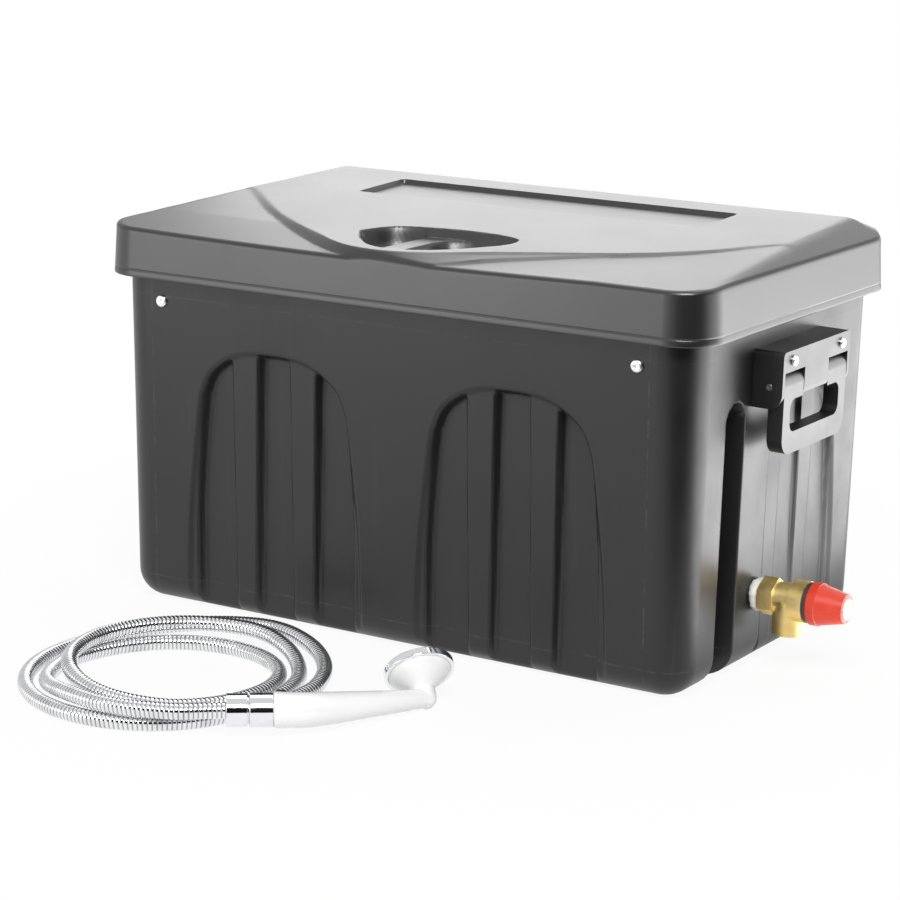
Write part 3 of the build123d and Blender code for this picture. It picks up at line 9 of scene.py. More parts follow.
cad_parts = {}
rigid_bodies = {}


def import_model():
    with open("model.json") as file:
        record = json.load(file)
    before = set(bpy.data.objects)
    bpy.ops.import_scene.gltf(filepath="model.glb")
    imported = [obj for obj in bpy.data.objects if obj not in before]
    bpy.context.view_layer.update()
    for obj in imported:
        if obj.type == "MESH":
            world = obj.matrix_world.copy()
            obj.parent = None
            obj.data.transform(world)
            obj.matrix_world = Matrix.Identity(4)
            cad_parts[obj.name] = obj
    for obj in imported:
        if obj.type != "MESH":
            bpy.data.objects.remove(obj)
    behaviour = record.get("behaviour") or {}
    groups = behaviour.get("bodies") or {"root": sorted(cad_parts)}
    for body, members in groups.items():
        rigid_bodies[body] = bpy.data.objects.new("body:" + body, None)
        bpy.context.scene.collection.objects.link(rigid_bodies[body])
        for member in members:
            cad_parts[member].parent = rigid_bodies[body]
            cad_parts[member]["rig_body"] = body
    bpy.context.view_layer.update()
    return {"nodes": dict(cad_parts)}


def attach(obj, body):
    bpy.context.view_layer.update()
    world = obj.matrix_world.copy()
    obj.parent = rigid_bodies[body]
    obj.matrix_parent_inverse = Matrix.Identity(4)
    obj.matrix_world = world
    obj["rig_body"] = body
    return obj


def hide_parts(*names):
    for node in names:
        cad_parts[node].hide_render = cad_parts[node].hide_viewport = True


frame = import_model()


# Camera
# A long lens a little above the lid, turned to the front right corner of the box.
# Its place, turn and focal length were solved from the straight edges of the box.
CAMERA_PLACE = (1.2089, -2.0110, 0.6879)
CAMERA_YAW = radians(31.88)
CAMERA_PITCH = radians(13.32)
CAMERA_ROLL = radians(0.94)
SENSOR_MM = 36.0
FOCAL_MM = 115.21

toward_camera = Vector((sin(CAMERA_YAW) * cos(CAMERA_PITCH), -cos(CAMERA_YAW) * cos(CAMERA_PITCH),
                        sin(CAMERA_PITCH)))
level_right = Vector((cos(CAMERA_YAW), sin(CAMERA_YAW), 0.0))
level_up = toward_camera.cross(level_right)
picture_right = level_right * cos(CAMERA_ROLL) + level_up * sin(CAMERA_ROLL)
picture_up = level_up * cos(CAMERA_ROLL) - level_right * sin(CAMERA_ROLL)
camera_lens = bpy.data.cameras.new("camera")
camera_lens.sensor_width = SENSOR_MM
camera_lens.lens = FOCAL_MM
camera = bpy.data.objects.new("camera", camera_lens)
camera.matrix_world = Matrix.Translation(CAMERA_PLACE) @ Matrix(
    (picture_right, picture_up, toward_camera)).transposed().to_4x4()
bpy.context.scene.collection.objects.link(camera)
bpy.context.scene.camera = camera


# Shower hose
# A chromed strip hose: one steel strip wound and interlocked into rounded ribs over a soft liner.
# It lies on the floor in a loose coil of not quite three turns, its nut end propped on the outer turn.
MM = 0.001
HOSE_RADIUS = 6.2
HOSE_LIFT = 6.5
COIL_CENTRE = (-82.9, -329.3)
COIL_START = radians(-53.3)
COIL_OUTER = 124.0
COIL_STEPS_A_TURN = 8
COIL_END_STEP = 22.75
COIL_SHARES = (1.0, .871, .766, .726, .71, .669, .649, .621, .609, .617, .645, .702,
               .774, .798, .774, .766, .899, .927, .911, .899, .907, .935, .931, .931)
LAYER_RISE = 13.5
LAYER_SHARES = (1.0, .96, .15, 0, 0, 0, 0, 0, 0, .35, .85, 1.0,
                1.0, .97, .03, 0, 0, 0, 0, .05, .5, .95, .42, .4)
ROUTE_START = (22.47, -405.41, 20.0)
ROUTE_END = (34.58, -359.29, 11.94)
POINTS_A_STEP = 2
RIB_PITCH = 3.4
RIB_PHASES = (0.0, 0.13, 0.3, 0.5, 0.7, 0.87)
RIB_RADII = (5.55, 6.05, 6.19, 6.2, 6.19, 6.05)
HOSE_SIDES = 16
SPLINE_ORDER = 3
SPLINE_FINENESS = 12
SPLINE_POINT_SHARE = 0.75


def smooth_through(shares, steps):
    """A curve through a table: each stretch a cubic whose end slopes are half the step across that end."""
    knots = np.array((shares[1], *shares, shares[-1]))
    low = np.minimum(steps.astype(int), len(shares) - 2)
    t = steps - low
    before, here, after, beyond = (knots[low + k] for k in range(4))
    return here + 0.5 * t * (after - before + t * (
        2 * before - 5 * here + 4 * after - beyond + t * (3 * (here - after) + beyond - before)))


def eased(t):
    """The smooth step: three squares less two cubes of a share held between nought and one."""
    t = np.clip(t, 0.0, 1.0)
    return t * t * (3 - 2 * t)


def eased_through(shares, steps):
    """A curve that eases from each value of a table to the next."""
    table = np.array(shares)
    low = np.minimum(steps.astype(int), len(shares) - 2)
    return table[low] + (table[low + 1] - table[low]) * eased(steps - low)


def shown(name, mesh, body, slot, *nodes):
    """Puts a mesh in the scene as a piece that rides a body and stands for the named nodes; its slot is not
    used.
    """
    piece = bpy.data.objects.new(name, mesh)
    bpy.context.scene.collection.objects.link(piece)
    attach(piece, body)
    if nodes:
        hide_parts(*nodes)
    return piece


def meshed(name, corners, faces):
    """A smooth mesh from corners in millimetres and lists of corner numbers that go round outward faces."""
    mesh = bpy.data.meshes.new(name)
    mesh.from_pydata((np.asarray(corners).reshape(-1, 3) * MM).tolist(), [], faces)
    mesh.polygons.foreach_set("use_smooth", np.ones(len(mesh.polygons), bool))
    return mesh


def lattice(rows, columns, ring=True):
    """Four-cornered faces between neighbouring rows of a grid, its columns joined round if it is a ring."""
    i, j = np.meshgrid(np.arange(rows - 1), np.arange(columns if ring else columns - 1), indexing="ij")
    after = (j + 1) % columns
    row, next_row = i * columns, (i + 1) * columns
    return np.stack((row + j, row + after, next_row + after, next_row + j), axis=-1).reshape(-1, 4)


def closed_tube(rows, columns):
    """The faces of a grid that is a ring along each row, with one flat face over each end."""
    ends = [list(range(columns - 1, -1, -1)), list(range((rows - 1) * columns, rows * columns))]
    return lattice(rows, columns).tolist() + ends


coil_steps = np.append(np.arange(0.0, COIL_END_STEP, 1 / POINTS_A_STEP), COIL_END_STEP)
half_point_turn = 2 * pi / (COIL_STEPS_A_TURN * POINTS_A_STEP)
spline_pull = SPLINE_POINT_SHARE + (1 - SPLINE_POINT_SHARE) * cos(half_point_turn)
coil_reach = COIL_OUTER * smooth_through(COIL_SHARES, coil_steps) / spline_pull
coil_angle = COIL_START - 2 * pi * coil_steps / COIL_STEPS_A_TURN
coil_points = np.stack((COIL_CENTRE[0] + coil_reach * np.cos(coil_angle),
                        COIL_CENTRE[1] + coil_reach * np.sin(coil_angle),
                        HOSE_LIFT + LAYER_RISE * eased_through(LAYER_SHARES, coil_steps)), axis=1)
lead_middle = (np.array(ROUTE_START) + coil_points[0]) / 2
route_points = np.vstack((ROUTE_START, lead_middle, coil_points, ROUTE_END))
route_curve = bpy.data.curves.new("hose_route", "CURVE")
route_curve.dimensions = "3D"
route_spline = route_curve.splines.new("NURBS")
route_spline.points.add(len(route_points) - 1)
weighted_points = np.column_stack((route_points * MM, np.ones(len(route_points))))
route_spline.points.foreach_set("co", weighted_points.ravel())
route_spline.order_u = SPLINE_ORDER
route_spline.use_endpoint_u = True
route_spline.resolution_u = SPLINE_FINENESS
route = bpy.data.objects.new("hose_route", route_curve)
route_mesh = bpy.data.meshes.new_from_object(route)
centre_line = np.empty(len(route_mesh.vertices) * 3)
route_mesh.vertices.foreach_get("co", centre_line)
centre_line = centre_line.reshape(-1, 3) / MM
bpy.data.meshes.remove(route_mesh)
bpy.data.objects.remove(route)
bpy.data.curves.remove(route_curve)


def along(line, places):
    """Points and unit directions on a line of short runs at given lengths from its start."""
    runs = np.linalg.norm(np.diff(line, axis=0), axis=1)
    length = np.append(0.0, np.cumsum(runs))
    points = np.stack([np.interp(places, length, line[:, k]) for k in range(3)], axis=1)
    slopes = np.gradient(line, length, axis=0)
    ways = np.stack([np.interp(places, length, slopes[:, k]) for k in range(3)], axis=1)
    return points, ways / np.linalg.norm(ways, axis=1)[:, None]


def swept(line, places, radii, sides):
    """Rings of corners round a line: radius times the turn's cosine sideways and its sine upward."""
    points, ways = along(line, places)
    sideways = np.cross(ways, (0.0, 0.0, 1.0))
    sideways /= np.linalg.norm(sideways, axis=1)[:, None]
    upward = np.cross(sideways, ways)
    turn = 2 * pi * np.arange(sides) / sides
    return points[:, None] - radii[:, None, None] * (
        np.cos(turn)[None, :, None] * sideways[:, None] - np.sin(turn)[None, :, None] * upward[:, None])


hose_length = np.linalg.norm(np.diff(centre_line, axis=0), axis=1).sum()
rib_count = int(hose_length / RIB_PITCH)
rib_step = hose_length / rib_count
rib_places = ((np.arange(rib_count)[:, None] + np.array(RIB_PHASES)) * rib_step).ravel()
rib_radii = np.tile(RIB_RADII, rib_count)
hose_mesh = meshed("hose_ribbed", swept(centre_line, rib_places, rib_radii, HOSE_SIDES),
                   closed_tube(len(rib_places), HOSE_SIDES))
# How far into a groove each ring of corners lies, stored on the mesh for the chrome's painted groove shade.
groove_share = (HOSE_RADIUS - rib_radii) / (HOSE_RADIUS - min(RIB_RADII))
hose_groove_shade = hose_mesh.attributes.new("groove", "FLOAT", "POINT")
hose_groove_shade.data.foreach_set("value", np.repeat(groove_share, HOSE_SIDES))
hose_piece = shown("hose_ribbed", hose_mesh, "heater", "chrome", "hose")


class Value:
    """A shader socket that can be added, multiplied and so on: each operator adds one Math node."""

    def __init__(self, finish, socket):
        self.finish = finish
        self.socket = socket

    def maths(self, operation, first, second):
        return self.finish.node("ShaderNodeMath", {"operation": operation}, {0: first, 1: second})

    def __add__(self, other):
        return self.maths("ADD", self, other)

    def __sub__(self, other):
        return self.maths("SUBTRACT", self, other)

    def __mul__(self, other):
        return self.maths("MULTIPLY", self, other)

    def __abs__(self):
        return self.maths("ABSOLUTE", self, 0.0)


class Finish:
    """A material made of shader nodes: node() adds one, the other methods are steps that finishes share."""

    def __init__(self, name, world=None):
        self.owner = world or bpy.data.materials.new(name)
        self.owner.use_nodes = True
        self.tree = self.owner.node_tree
        self.tree.nodes.clear()

    def node(self, kind, settings, sockets, output=0):
        made = self.tree.nodes.new(kind)
        for key, value in settings.items():
            setattr(made, key, value)
        for key, value in sockets.items():
            if isinstance(value, Value):
                self.tree.links.new(value.socket, made.inputs[key])
            else:
                made.inputs[key].default_value = value
        return Value(self, made.outputs[output]) if made.outputs else None

    def place(self):
        """Where the point is on the object, in metres."""
        return self.node("ShaderNodeTexCoord", {}, {}, "Object")

    def parts(self, vector):
        """The three parts of a vector."""
        split = self.tree.nodes.new("ShaderNodeSeparateXYZ")
        self.tree.links.new(vector.socket, split.inputs[0])
        return [Value(self, output) for output in split.outputs]

    def stretched(self, vector, scale):
        """A vector scaled by another amount along each axis."""
        return self.node("ShaderNodeMapping", {"vector_type": "POINT"}, {"Vector": vector, "Scale": scale})

    def noise(self, vector, scale, detail=3.0, rough=0.5):
        """Cloudy noise about one half."""
        return self.node("ShaderNodeTexNoise", {}, {
            "Vector": vector, "Scale": scale, "Detail": detail, "Roughness": rough})

    def ramp(self, value, low, high, to_low=0.0, to_high=1.0):
        """An eased step of a value from one pair of limits to another."""
        return self.node("ShaderNodeMapRange", {"interpolation_type": "SMOOTHSTEP"}, {
            "Value": value, "From Min": low, "From Max": high, "To Min": to_low, "To Max": to_high})

    def blend(self, share, first, second):
        """A colour that goes from the first to the second with the share."""
        return self.node("ShaderNodeMix", {"data_type": "RGBA"}, {"Factor": share, 6: first, 7: second}, 2)

    def bump(self, height, strength, distance):
        """The surface's normal over a height."""
        return self.node("ShaderNodeBump", {}, {"Height": height, "Strength": strength, "Distance": distance})

    def ray(self, kind):
        """One for a ray of the named kind, nought for any other."""
        return self.node("ShaderNodeLightPath", {}, {}, kind)

    def surface(self, sockets):
        """Ends the material with one principled surface."""
        shader = self.node("ShaderNodeBsdfPrincipled", {}, sockets)
        self.node("ShaderNodeOutputMaterial", {}, {"Surface": shader})
        return self.owner


def chrome(name, dark, groove=False):
    """Bright plating: near-white metal with faint wipe marks and a cloudy tone; if asked, painted shade
    darkens the grooves between ribs, which are also rougher.
    """
    made = Finish(name)
    place = made.place()
    cloud = made.noise(place, 40.0, 4.0)
    wiped = made.noise(made.stretched(place, (300.0, 300.0, 900.0)), 1.0, 2.0)
    soil_and_groove_shade = made.ramp(cloud, 0.45, 0.75, 0.0, 0.25)
    if groove:
        # Painted shade: the groove attribute turns the base colour towards the dark colour in the hose's
        # grooves.
        painted_groove_shade = made.node("ShaderNodeAttribute", {"attribute_name": "groove"}, {}, "Fac")
        soil_and_groove_shade = soil_and_groove_shade + painted_groove_shade * 0.9
    return made.surface({"Base Color": made.blend(soil_and_groove_shade, (0.86, 0.87, 0.89, 1), dark), "Metallic": 1.0,
                         "Roughness": made.ramp(cloud, 0.3, 0.7, 0.06, 0.13) + soil_and_groove_shade * 0.2,
                         "Normal": made.bump(wiped, 0.02, 0.0002)})


# The hose's chrome has painted groove shade: a near-black base colour in the grooves between its ribs.
hose_mesh.materials.append(chrome("hose_chrome", (0.05, 0.05, 0.055, 1), groove=True))


# Hose nuts and washers
# Turned brass nuts, chromed, one swaged on each end of the hose, with a flat rubber washer inside.
# The nut at the shower end meets the collar of the hand shower.
NUT_EDGE = 0.5
JOIN = 1e-6
FLAT_DEGREES = 0.6
SHARP_DEGREES = 32.0


def eased_edges(piece, edge=0.0, segments=2):
    """Rounds a piece's sharp edges by one width, if there is one, and shades it by the size of its faces."""
    if edge:
        bevel = piece.modifiers.new("edges", "BEVEL")
        bevel.width = edge * MM
        bevel.segments = segments
        bevel.limit_method = "ANGLE"
        bevel.angle_limit = radians(SHARP_DEGREES)
        bevel.use_clamp_overlap = True
    piece.modifiers.new("shading", "WEIGHTED_NORMAL").keep_sharp = True


def softened(node, slot, edge, material, segments=2):
    """A node's own mesh with corners joined, flat faces merged and sharp edges rounded by one width."""
    source = frame["nodes"][node]
    shape = bmesh.new()
    shape.from_mesh(source.data)
    bmesh.ops.remove_doubles(shape, verts=shape.verts, dist=JOIN)
    bmesh.ops.dissolve_limit(shape, angle_limit=radians(FLAT_DEGREES), verts=shape.verts, edges=shape.edges)
    mesh = bpy.data.meshes.new(node + "_soft")
    shape.to_mesh(mesh)
    shape.free()
    mesh.polygons.foreach_set("use_smooth", np.ones(len(mesh.polygons), bool))
    mesh.materials.clear()
    mesh.materials.append(material)
    piece = shown(mesh.name, mesh, source["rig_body"], slot, node)
    eased_edges(piece, edge, segments)
    return piece


def clouded(name, scale, first, second, sheens, metal=0.0, detail=3.0, bumps=None, stretch=None, coat=0.0):
    """A finish that drifts between two colours and two roughnesses with one noise, bumped by it if asked."""
    made = Finish(name)
    place = made.stretched(made.place(), stretch) if stretch else made.place()
    cloud = made.noise(place, scale, detail)
    sockets = {"Base Color": made.blend(cloud, (*first, 1), (*second, 1)), "Metallic": metal,
               "Roughness": made.ramp(cloud, 0.3, 0.7, *sheens), "Coat Weight": coat}
    if bumps:
        sockets["Normal"] = made.bump(cloud, *bumps)
    return made.surface(sockets)


def dressed(node, material):
    """Gives a node that keeps its own mesh one material."""
    frame["nodes"][node].data.materials.clear()
    frame["nodes"][node].data.materials.append(material)


nut_chrome = chrome("nut_chrome", (0.3, 0.3, 0.31, 1))
hose_nut = softened("hose_nut", "chrome", NUT_EDGE, nut_chrome)
hose_end_nut = softened("hose_end_nut", "chrome", NUT_EDGE, nut_chrome)

dressed("hose_washers", clouded(
    "washer_rubber", 300.0, (0.012, 0.012, 0.012), (0.03, 0.03, 0.03), (0.55, 0.8)))


# Tub
# The box itself: one black polyethylene moulding with leaning walls, ribbed arches and a slot in each end.
# Its corners and foot are generously rounded, and its rolled rim goes under the lid.
BASE_X = 236.67
BASE_Y = 131.17
FOOT_REACH = 26.53
WALL_LEAN = 0.0174
FOOT_ROUND = 25.0
TUB_WALL = 4.0
RIM_REACH = 35.5
RIM_FOOT = 306.4
RIM_TOP = 314.4
TUB_INSIDE = 286.0
ARCH_X = 112.0
END_ARCH_Y = 20.0
ARCH_HALF = 86.0
ARCH_TOP = 225.5
ARCH_WIDTH_SHARES = (1, .998, .959, .856, .802, .715, .523, .3)
ARCH_HEIGHT_SHARES = (-.06, .071, .404, .745, .843, .907, .963, .992)
STEP_DEPTH = 3.0
STEP_SOFT = 3.4
GROOVE_MARGIN = 8.0
MARGIN_TOP = 190.0
GROOVE_FOOT_DEPTH = 6.6
GROOVE_TOP_DEPTH = 7.6
END_GROOVE_SHARE = 0.4
END_GROOVE_SOFT = 2.0
GROOVE_SOFT = 3.0
RIB_OFFSET = 28.5
RIB_FOOT_HALF = 10.25
RIB_TOP_HALF = 13.8
PROUD_TO = -24.0
SLOT_Y = -87.0
SLOT_HALF = 15.0
SLOT_TOP = 222.0
SLOT_DEPTH = 19.0
SLOT_SOFT = 2.4
MARGIN_LEAST_SHARE = 0.1
CORNER_COLUMNS = 14
FOOT_ROWS = 9
OUTLINE_POINTS = 129
TINY = 1e-9
FRONT_RUNS = ((-BASE_X, -202, 5), (-202, -22, 1.4), (-22, 22, 4.4), (22, 202, 1.4), (202, BASE_X, 5))
END_RUNS = ((-BASE_Y, -106, 5), (-106, 110, 1.4), (110, BASE_Y, 5))
WALL_RUNS = ((FOOT_ROUND, 186, 5.2), (186, 228, 1.5), (228, RIM_FOOT - 1, 12))
RIM_PROFILE = ((RIM_REACH - 0.5, RIM_FOOT), (RIM_REACH, RIM_FOOT + 0.6), (RIM_REACH, RIM_TOP - 1),
               (RIM_REACH - 1, RIM_TOP))
INNER_EDGE = 0.8
INNER_DRAFT = 0.5
SEAM_FRONT_M = (-0.149, -0.155)
SEAM_X_M = 0.2316
SEAM_LOW_M = 0.0235
SEAM_HIGH_M = 0.2635
SEAM_WIDTHS_M = (0.0002, 0.0009)


def lines(*runs):
    """Places along one axis: each run is a start, an end and the widest step allowed between."""
    pieces = [np.linspace(start, end, int(np.ceil(abs(end - start) / step)) + 1) for start, end, step in runs]
    return np.unique(np.round(np.concatenate(pieces), 4))


def inside_distance(x, y, outline):
    """How far points lie inside a closed outline: the least distance to a run of it, below nought outside."""
    nearest = np.full(x.shape, np.inf)
    within = np.zeros(x.shape, bool)
    for (ax, ay), (bx, by) in zip(outline, np.roll(outline, -1, axis=0)):
        dx, dy = bx - ax, by - ay
        share = np.clip(((x - ax) * dx + (y - ay) * dy) / max(dx * dx + dy * dy, TINY), 0.0, 1.0)
        nearest = np.minimum(nearest, np.hypot(x - ax - share * dx, y - ay - share * dy))
        if dy:
            within ^= ((ay > y) != (by > y)) & (x < ax + (y - ay) * dx / dy)
    return np.where(within, nearest, -nearest)


def mirrored_outline(widths, heights, half, rise, count):
    """A smooth outline through shares of a half width and a rise, its left half the mirror of its right."""
    w = (*widths, 0.0, *(-share for share in reversed(widths)))
    h = (*heights, 1.0, *reversed(heights))
    steps = np.linspace(0.0, len(w) - 1, count)
    return np.stack((half * smooth_through(w, steps), rise * smooth_through(h, steps)), axis=1)


arch_outline = mirrored_outline(ARCH_WIDTH_SHARES, ARCH_HEIGHT_SHARES, ARCH_HALF, ARCH_TOP, OUTLINE_POINTS)


def arch_depth(across, up, groove_share, groove_soft):
    """An arch's depth: an eased step inside its outline, plus an eased groove wherever no rib stands."""
    inside = inside_distance(across, up, arch_outline)
    share = np.clip(up / ARCH_TOP, 0.0, 1.0)
    margin = GROOVE_MARGIN * np.clip(1 - up / MARGIN_TOP, MARGIN_LEAST_SHARE, 1.0)
    rib_half = RIB_FOOT_HALF + (RIB_TOP_HALF - RIB_FOOT_HALF) * share
    rib = eased((rib_half - abs(abs(across) - RIB_OFFSET)) / groove_soft + 0.5)
    groove = eased((inside - margin) / groove_soft) * (1 - rib) * groove_share
    return (STEP_DEPTH * eased(inside / STEP_SOFT + 0.5)
            + (GROOVE_FOOT_DEPTH + (GROOVE_TOP_DEPTH - GROOVE_FOOT_DEPTH) * share) * groove)


def slot_depth(across, up):
    """The end slot's depth: eased in from its two sides and its round top."""
    inside = SLOT_HALF - np.hypot(across, np.maximum(up - SLOT_TOP + SLOT_HALF, 0))
    return SLOT_DEPTH * eased(inside / SLOT_SOFT + 0.5)


front_lines = lines(*FRONT_RUNS)
end_lines = lines(*END_RUNS)
corner_turn = (np.arange(CORNER_COLUMNS) + 0.5) / CORNER_COLUMNS * pi / 2
sides = []
for flat, normal, across_x in ((front_lines, (0, -1), True), (end_lines, (1, 0), False),
                               (front_lines[::-1], (0, 1), True), (end_lines[::-1], (-1, 0), False)):
    fixed = np.full(len(flat), (BASE_X if normal[0] else BASE_Y) * (normal[0] + normal[1]))
    start = (flat, fixed) if across_x else (fixed, flat)
    sides.append(np.stack((*start, np.full(len(flat), normal[0]), np.full(len(flat), normal[1])), axis=1))
    way = np.arctan2(normal[1], normal[0]) + corner_turn
    corner = sides[-1][-1, :2]
    sides.append(np.stack((np.full(CORNER_COLUMNS, corner[0]), np.full(CORNER_COLUMNS, corner[1]),
                           np.cos(way), np.sin(way)), axis=1))
perimeter = np.concatenate(sides)
wall_rows = lines(*WALL_RUNS)
foot_turn = np.linspace(0, pi / 2, FOOT_ROWS)[:-1]
foot_centre = FOOT_REACH + WALL_LEAN * FOOT_ROUND - FOOT_ROUND
inside_reach = FOOT_REACH + WALL_LEAN * RIM_TOP - TUB_WALL
profile = np.vstack((
    np.stack((foot_centre + FOOT_ROUND * np.sin(foot_turn), FOOT_ROUND * (1 - np.cos(foot_turn))), axis=1),
    np.stack((FOOT_REACH + WALL_LEAN * wall_rows, wall_rows), axis=1),
    RIM_PROFILE,
    ((inside_reach + INNER_EDGE, RIM_TOP), (inside_reach, RIM_TOP - INNER_EDGE),
     (inside_reach - INNER_DRAFT, TUB_INSIDE))))
reach = np.broadcast_to(profile[:, :1], (len(profile), len(perimeter)))
height = np.broadcast_to(profile[:, 1:], reach.shape)
tub_x, tub_y, normal_x, normal_y = (np.broadcast_to(perimeter[:, k], reach.shape) for k in range(4))
sunk = np.zeros(reach.shape)
on_front = (abs(normal_y) == 1) & (height < RIM_FOOT)
on_end = (abs(normal_x) == 1) & (height < RIM_FOOT)
sunk[on_front] = arch_depth(abs(tub_x[on_front]) - ARCH_X, height[on_front], 1.0, GROOVE_SOFT)
sunk[on_end] = arch_depth(tub_y[on_end] - END_ARCH_Y, height[on_end], END_GROOVE_SHARE, END_GROOVE_SOFT)
past_proud = eased((tub_y[on_end] - PROUD_TO) / END_GROOVE_SOFT + 0.5)
sunk[on_end] *= np.where(normal_x[on_end] > 0, past_proud, 1.0)
sunk[on_end] = np.maximum(sunk[on_end], slot_depth(tub_y[on_end] - SLOT_Y, height[on_end]))
reach = np.where(height < RIM_FOOT, np.minimum(reach, FOOT_REACH + WALL_LEAN * height - sunk), reach)
tub_corners = np.stack((tub_x + normal_x * reach, tub_y + normal_y * reach, height), axis=-1)
tub_mesh = meshed("tub_moulded", tub_corners, closed_tube(*reach.shape))
tub_piece = shown("tub_moulded", tub_mesh, "heater", "tub", "tub")
eased_edges(tub_piece)


def moulded(name, colour, sheen, mirror=0.5, seams=False, wear=1.0):
    """Moulded plastic: cloudy sheen, fine grain, streaks by a share of wear, and pale seams if asked for."""
    made = Finish(name)
    place = made.place()
    cloud = made.noise(place, 11.0, 5.0, 0.6)
    grain = made.noise(place, 1500.0, 2.0)
    streak = made.noise(made.stretched(place, (90.0, 90.0, 4.0)), 1.0, 4.0, 0.65)
    rubbed = made.ramp(streak, 0.56, 0.78) * made.ramp(cloud, 0.45, 0.62) * wear
    pale = rubbed * 0.25
    if seams:
        x, y, z = made.parts(place)
        broken = made.ramp(made.noise(place, 60.0, 4.0, 0.7), 0.42, 0.6)
        front = made.ramp(y, *SEAM_FRONT_M)
        upright = made.ramp(abs(abs(x) - SEAM_X_M), *SEAM_WIDTHS_M, 1.0, 0.0) * front
        low = made.ramp(abs(z - SEAM_LOW_M), *SEAM_WIDTHS_M, 1.0, 0.0)
        high = made.ramp(abs(z - SEAM_HIGH_M), *SEAM_WIDTHS_M, 1.0, 0.0) * 0.6
        pale = pale + (upright + low + high) * broken * 0.5
    light = tuple(3.4 * part + 0.03 for part in colour)
    return made.surface({
        "Base Color": made.blend(pale, (*colour, 1), (*light, 1)),
        "Roughness": made.ramp(cloud, 0.3, 0.7, sheen - 0.05 * wear, sheen + 0.06 * wear) + rubbed * 0.12,
        "Specular IOR Level": mirror,
        "Normal": made.bump(grain * 0.7 + streak * (0.3 * wear), 0.12, 0.0003)})


tub_plastic = moulded("tub_plastic", (0.008, 0.008, 0.008), 0.38, 0.54, seams=True)
tub_mesh.materials.append(tub_plastic)


# Rear hinges
# Two plain knuckle hinges on the back: the tub's two lugs and the lid's one lug share a steel pin.
# The lugs are moulded with the tub and the lid, and their edges are eased.
HINGE_X = 170.0
HINGE_Y = 178.57
HINGE_Z = 271.0
KNUCKLE_R = 5.5
LID_KNUCKLE = 30.0
TUB_KNUCKLE = 14.0
KNUCKLE_GAP = 0.3
KNUCKLE_RISE = 21.0
KNUCKLE_EDGE = 0.6
TUB_LUG_START = 160.0
BARREL_STEPS = 13
PIN_EDGE = 0.2


def lug(name, profile_yz, spans, body, slot, material):
    """Blocks of one profile across the box: its corners at both ends of each span, joined and closed."""
    count = len(profile_yz)
    ends = np.array([[(x, y, z) for y, z in profile_yz] for span in spans for x in span])
    faces = []
    for block in range(len(spans)):
        faces += [[corner + 2 * block * count for corner in face] for face in closed_tube(2, count)]
    mesh = meshed(name, ends, faces)
    mesh.materials.append(material)
    eased_edges(shown(name, mesh, body, slot), KNUCKLE_EDGE)


barrel_turn = np.linspace(-pi / 2, pi / 2, BARREL_STEPS)
tub_lug = [(TUB_LUG_START, HINGE_Z - KNUCKLE_R)]
tub_lug += [(HINGE_Y + KNUCKLE_R * cos(t), HINGE_Z + KNUCKLE_R * sin(t)) for t in barrel_turn]
tub_lug += [(TUB_LUG_START, HINGE_Z + KNUCKLE_R)]
tub_spans = [(side * HINGE_X + start, side * HINGE_X + start + TUB_KNUCKLE) for side in (-1, 1)
             for start in (LID_KNUCKLE / 2 + KNUCKLE_GAP, -LID_KNUCKLE / 2 - KNUCKLE_GAP - TUB_KNUCKLE)]
lug("tub_lugs", tub_lug, tub_spans, "heater", "tub", tub_plastic)

pin_steel = clouded("hinge_steel", 200.0, (0.5, 0.5, 0.5), (0.66, 0.66, 0.64), (0.25, 0.4), 1.0)
softened("hinge_pins", "steel", PIN_EDGE, pin_steel)


# Lid
# A moulded lid in the tub's plastic: a deep skirt, a crown with chamfered ends and back, a raised panel
# that ends in a long swoosh, a finger cup in its nose and a bare sunk plate behind.
LID_X = 278.0
LID_Y = 171.0
LID_CORNER = 33.0
LID_EDGE = 3.5
EDGE_LEVEL = 319.6
PANEL_LEVEL = 330.0
PANEL_SLOPE = 0.04
FACET_SLOPE = 0.058
CHAMFER_RISE = 16.5
END_CHAMFER = 29.0
BACK_CHAMFER = 25.0
FOLD = 0.7
SWOOSH_RIM_X = (-252, -234, -180, -130, -78, -46, -20, 4, 30, 62, 108, 146, 172, 196, 218, 237, 252)
SWOOSH_RIM_Y = (9, -8, -63, -105, -141, -160, -166, -165, -156, -136, -111, -92, -76.5, -58, -34,
                -5, 15)
SWOOSH_FOOT_X = (-252, -236, -184, -135, -84, -55, -30, 0, 34, 56, 75, 116, 156, 197, 219, 238, 252)
SWOOSH_FOOT_Y = (5, -12, -65, -107, -144, -161, -170, -172, -171, -163, -146, -117.5, -88, -59, -35,
                 -6.5, 12)
SWOOSH_SOFT = 0.9
SWOOSH_STEPS = ((0, 0.14, 0.86, 1), (0, 0.4, 0.66, 1))
BEYOND = 400.0
CUP_X = (-64, -56, -43, -16, 14, 43, 63, 69, 66, 54, 40, 28, 15, -2, -18, -33, -50, -64)
CUP_Y = (-106, -87, -75, -67, -64, -67, -74.5, -86, -101, -119, -135, -145, -152, -156, -155, -146,
         -128, -106)
CUP_POINTS = 120
CUP_SOFT = 4.5
CUP_LEDGE = 320.0
WELL_FLOOR = 311.5
TONGUE_LEFT = -24.0
TONGUE_RIGHT = -1.0
TONGUE_FLARE = 55.0
TONGUE_BACK = (-92.0, -62.0)
TONGUE_SOFT = 4.0
STEPPED_X = (30.0, 75.0)
FRONT_DIP = 3.2
DIP_X = -50.0
DIP_HALF = 235.0
DIP_REACH = 70.0
PLATE_HALF = 164.0
PLATE_FRONT = 42.0
PLATE_BACK = 111.0
PLATE_CORNER = 4.0
PLATE_DEPTH = 3.5
PLATE_SOFT = 1.4
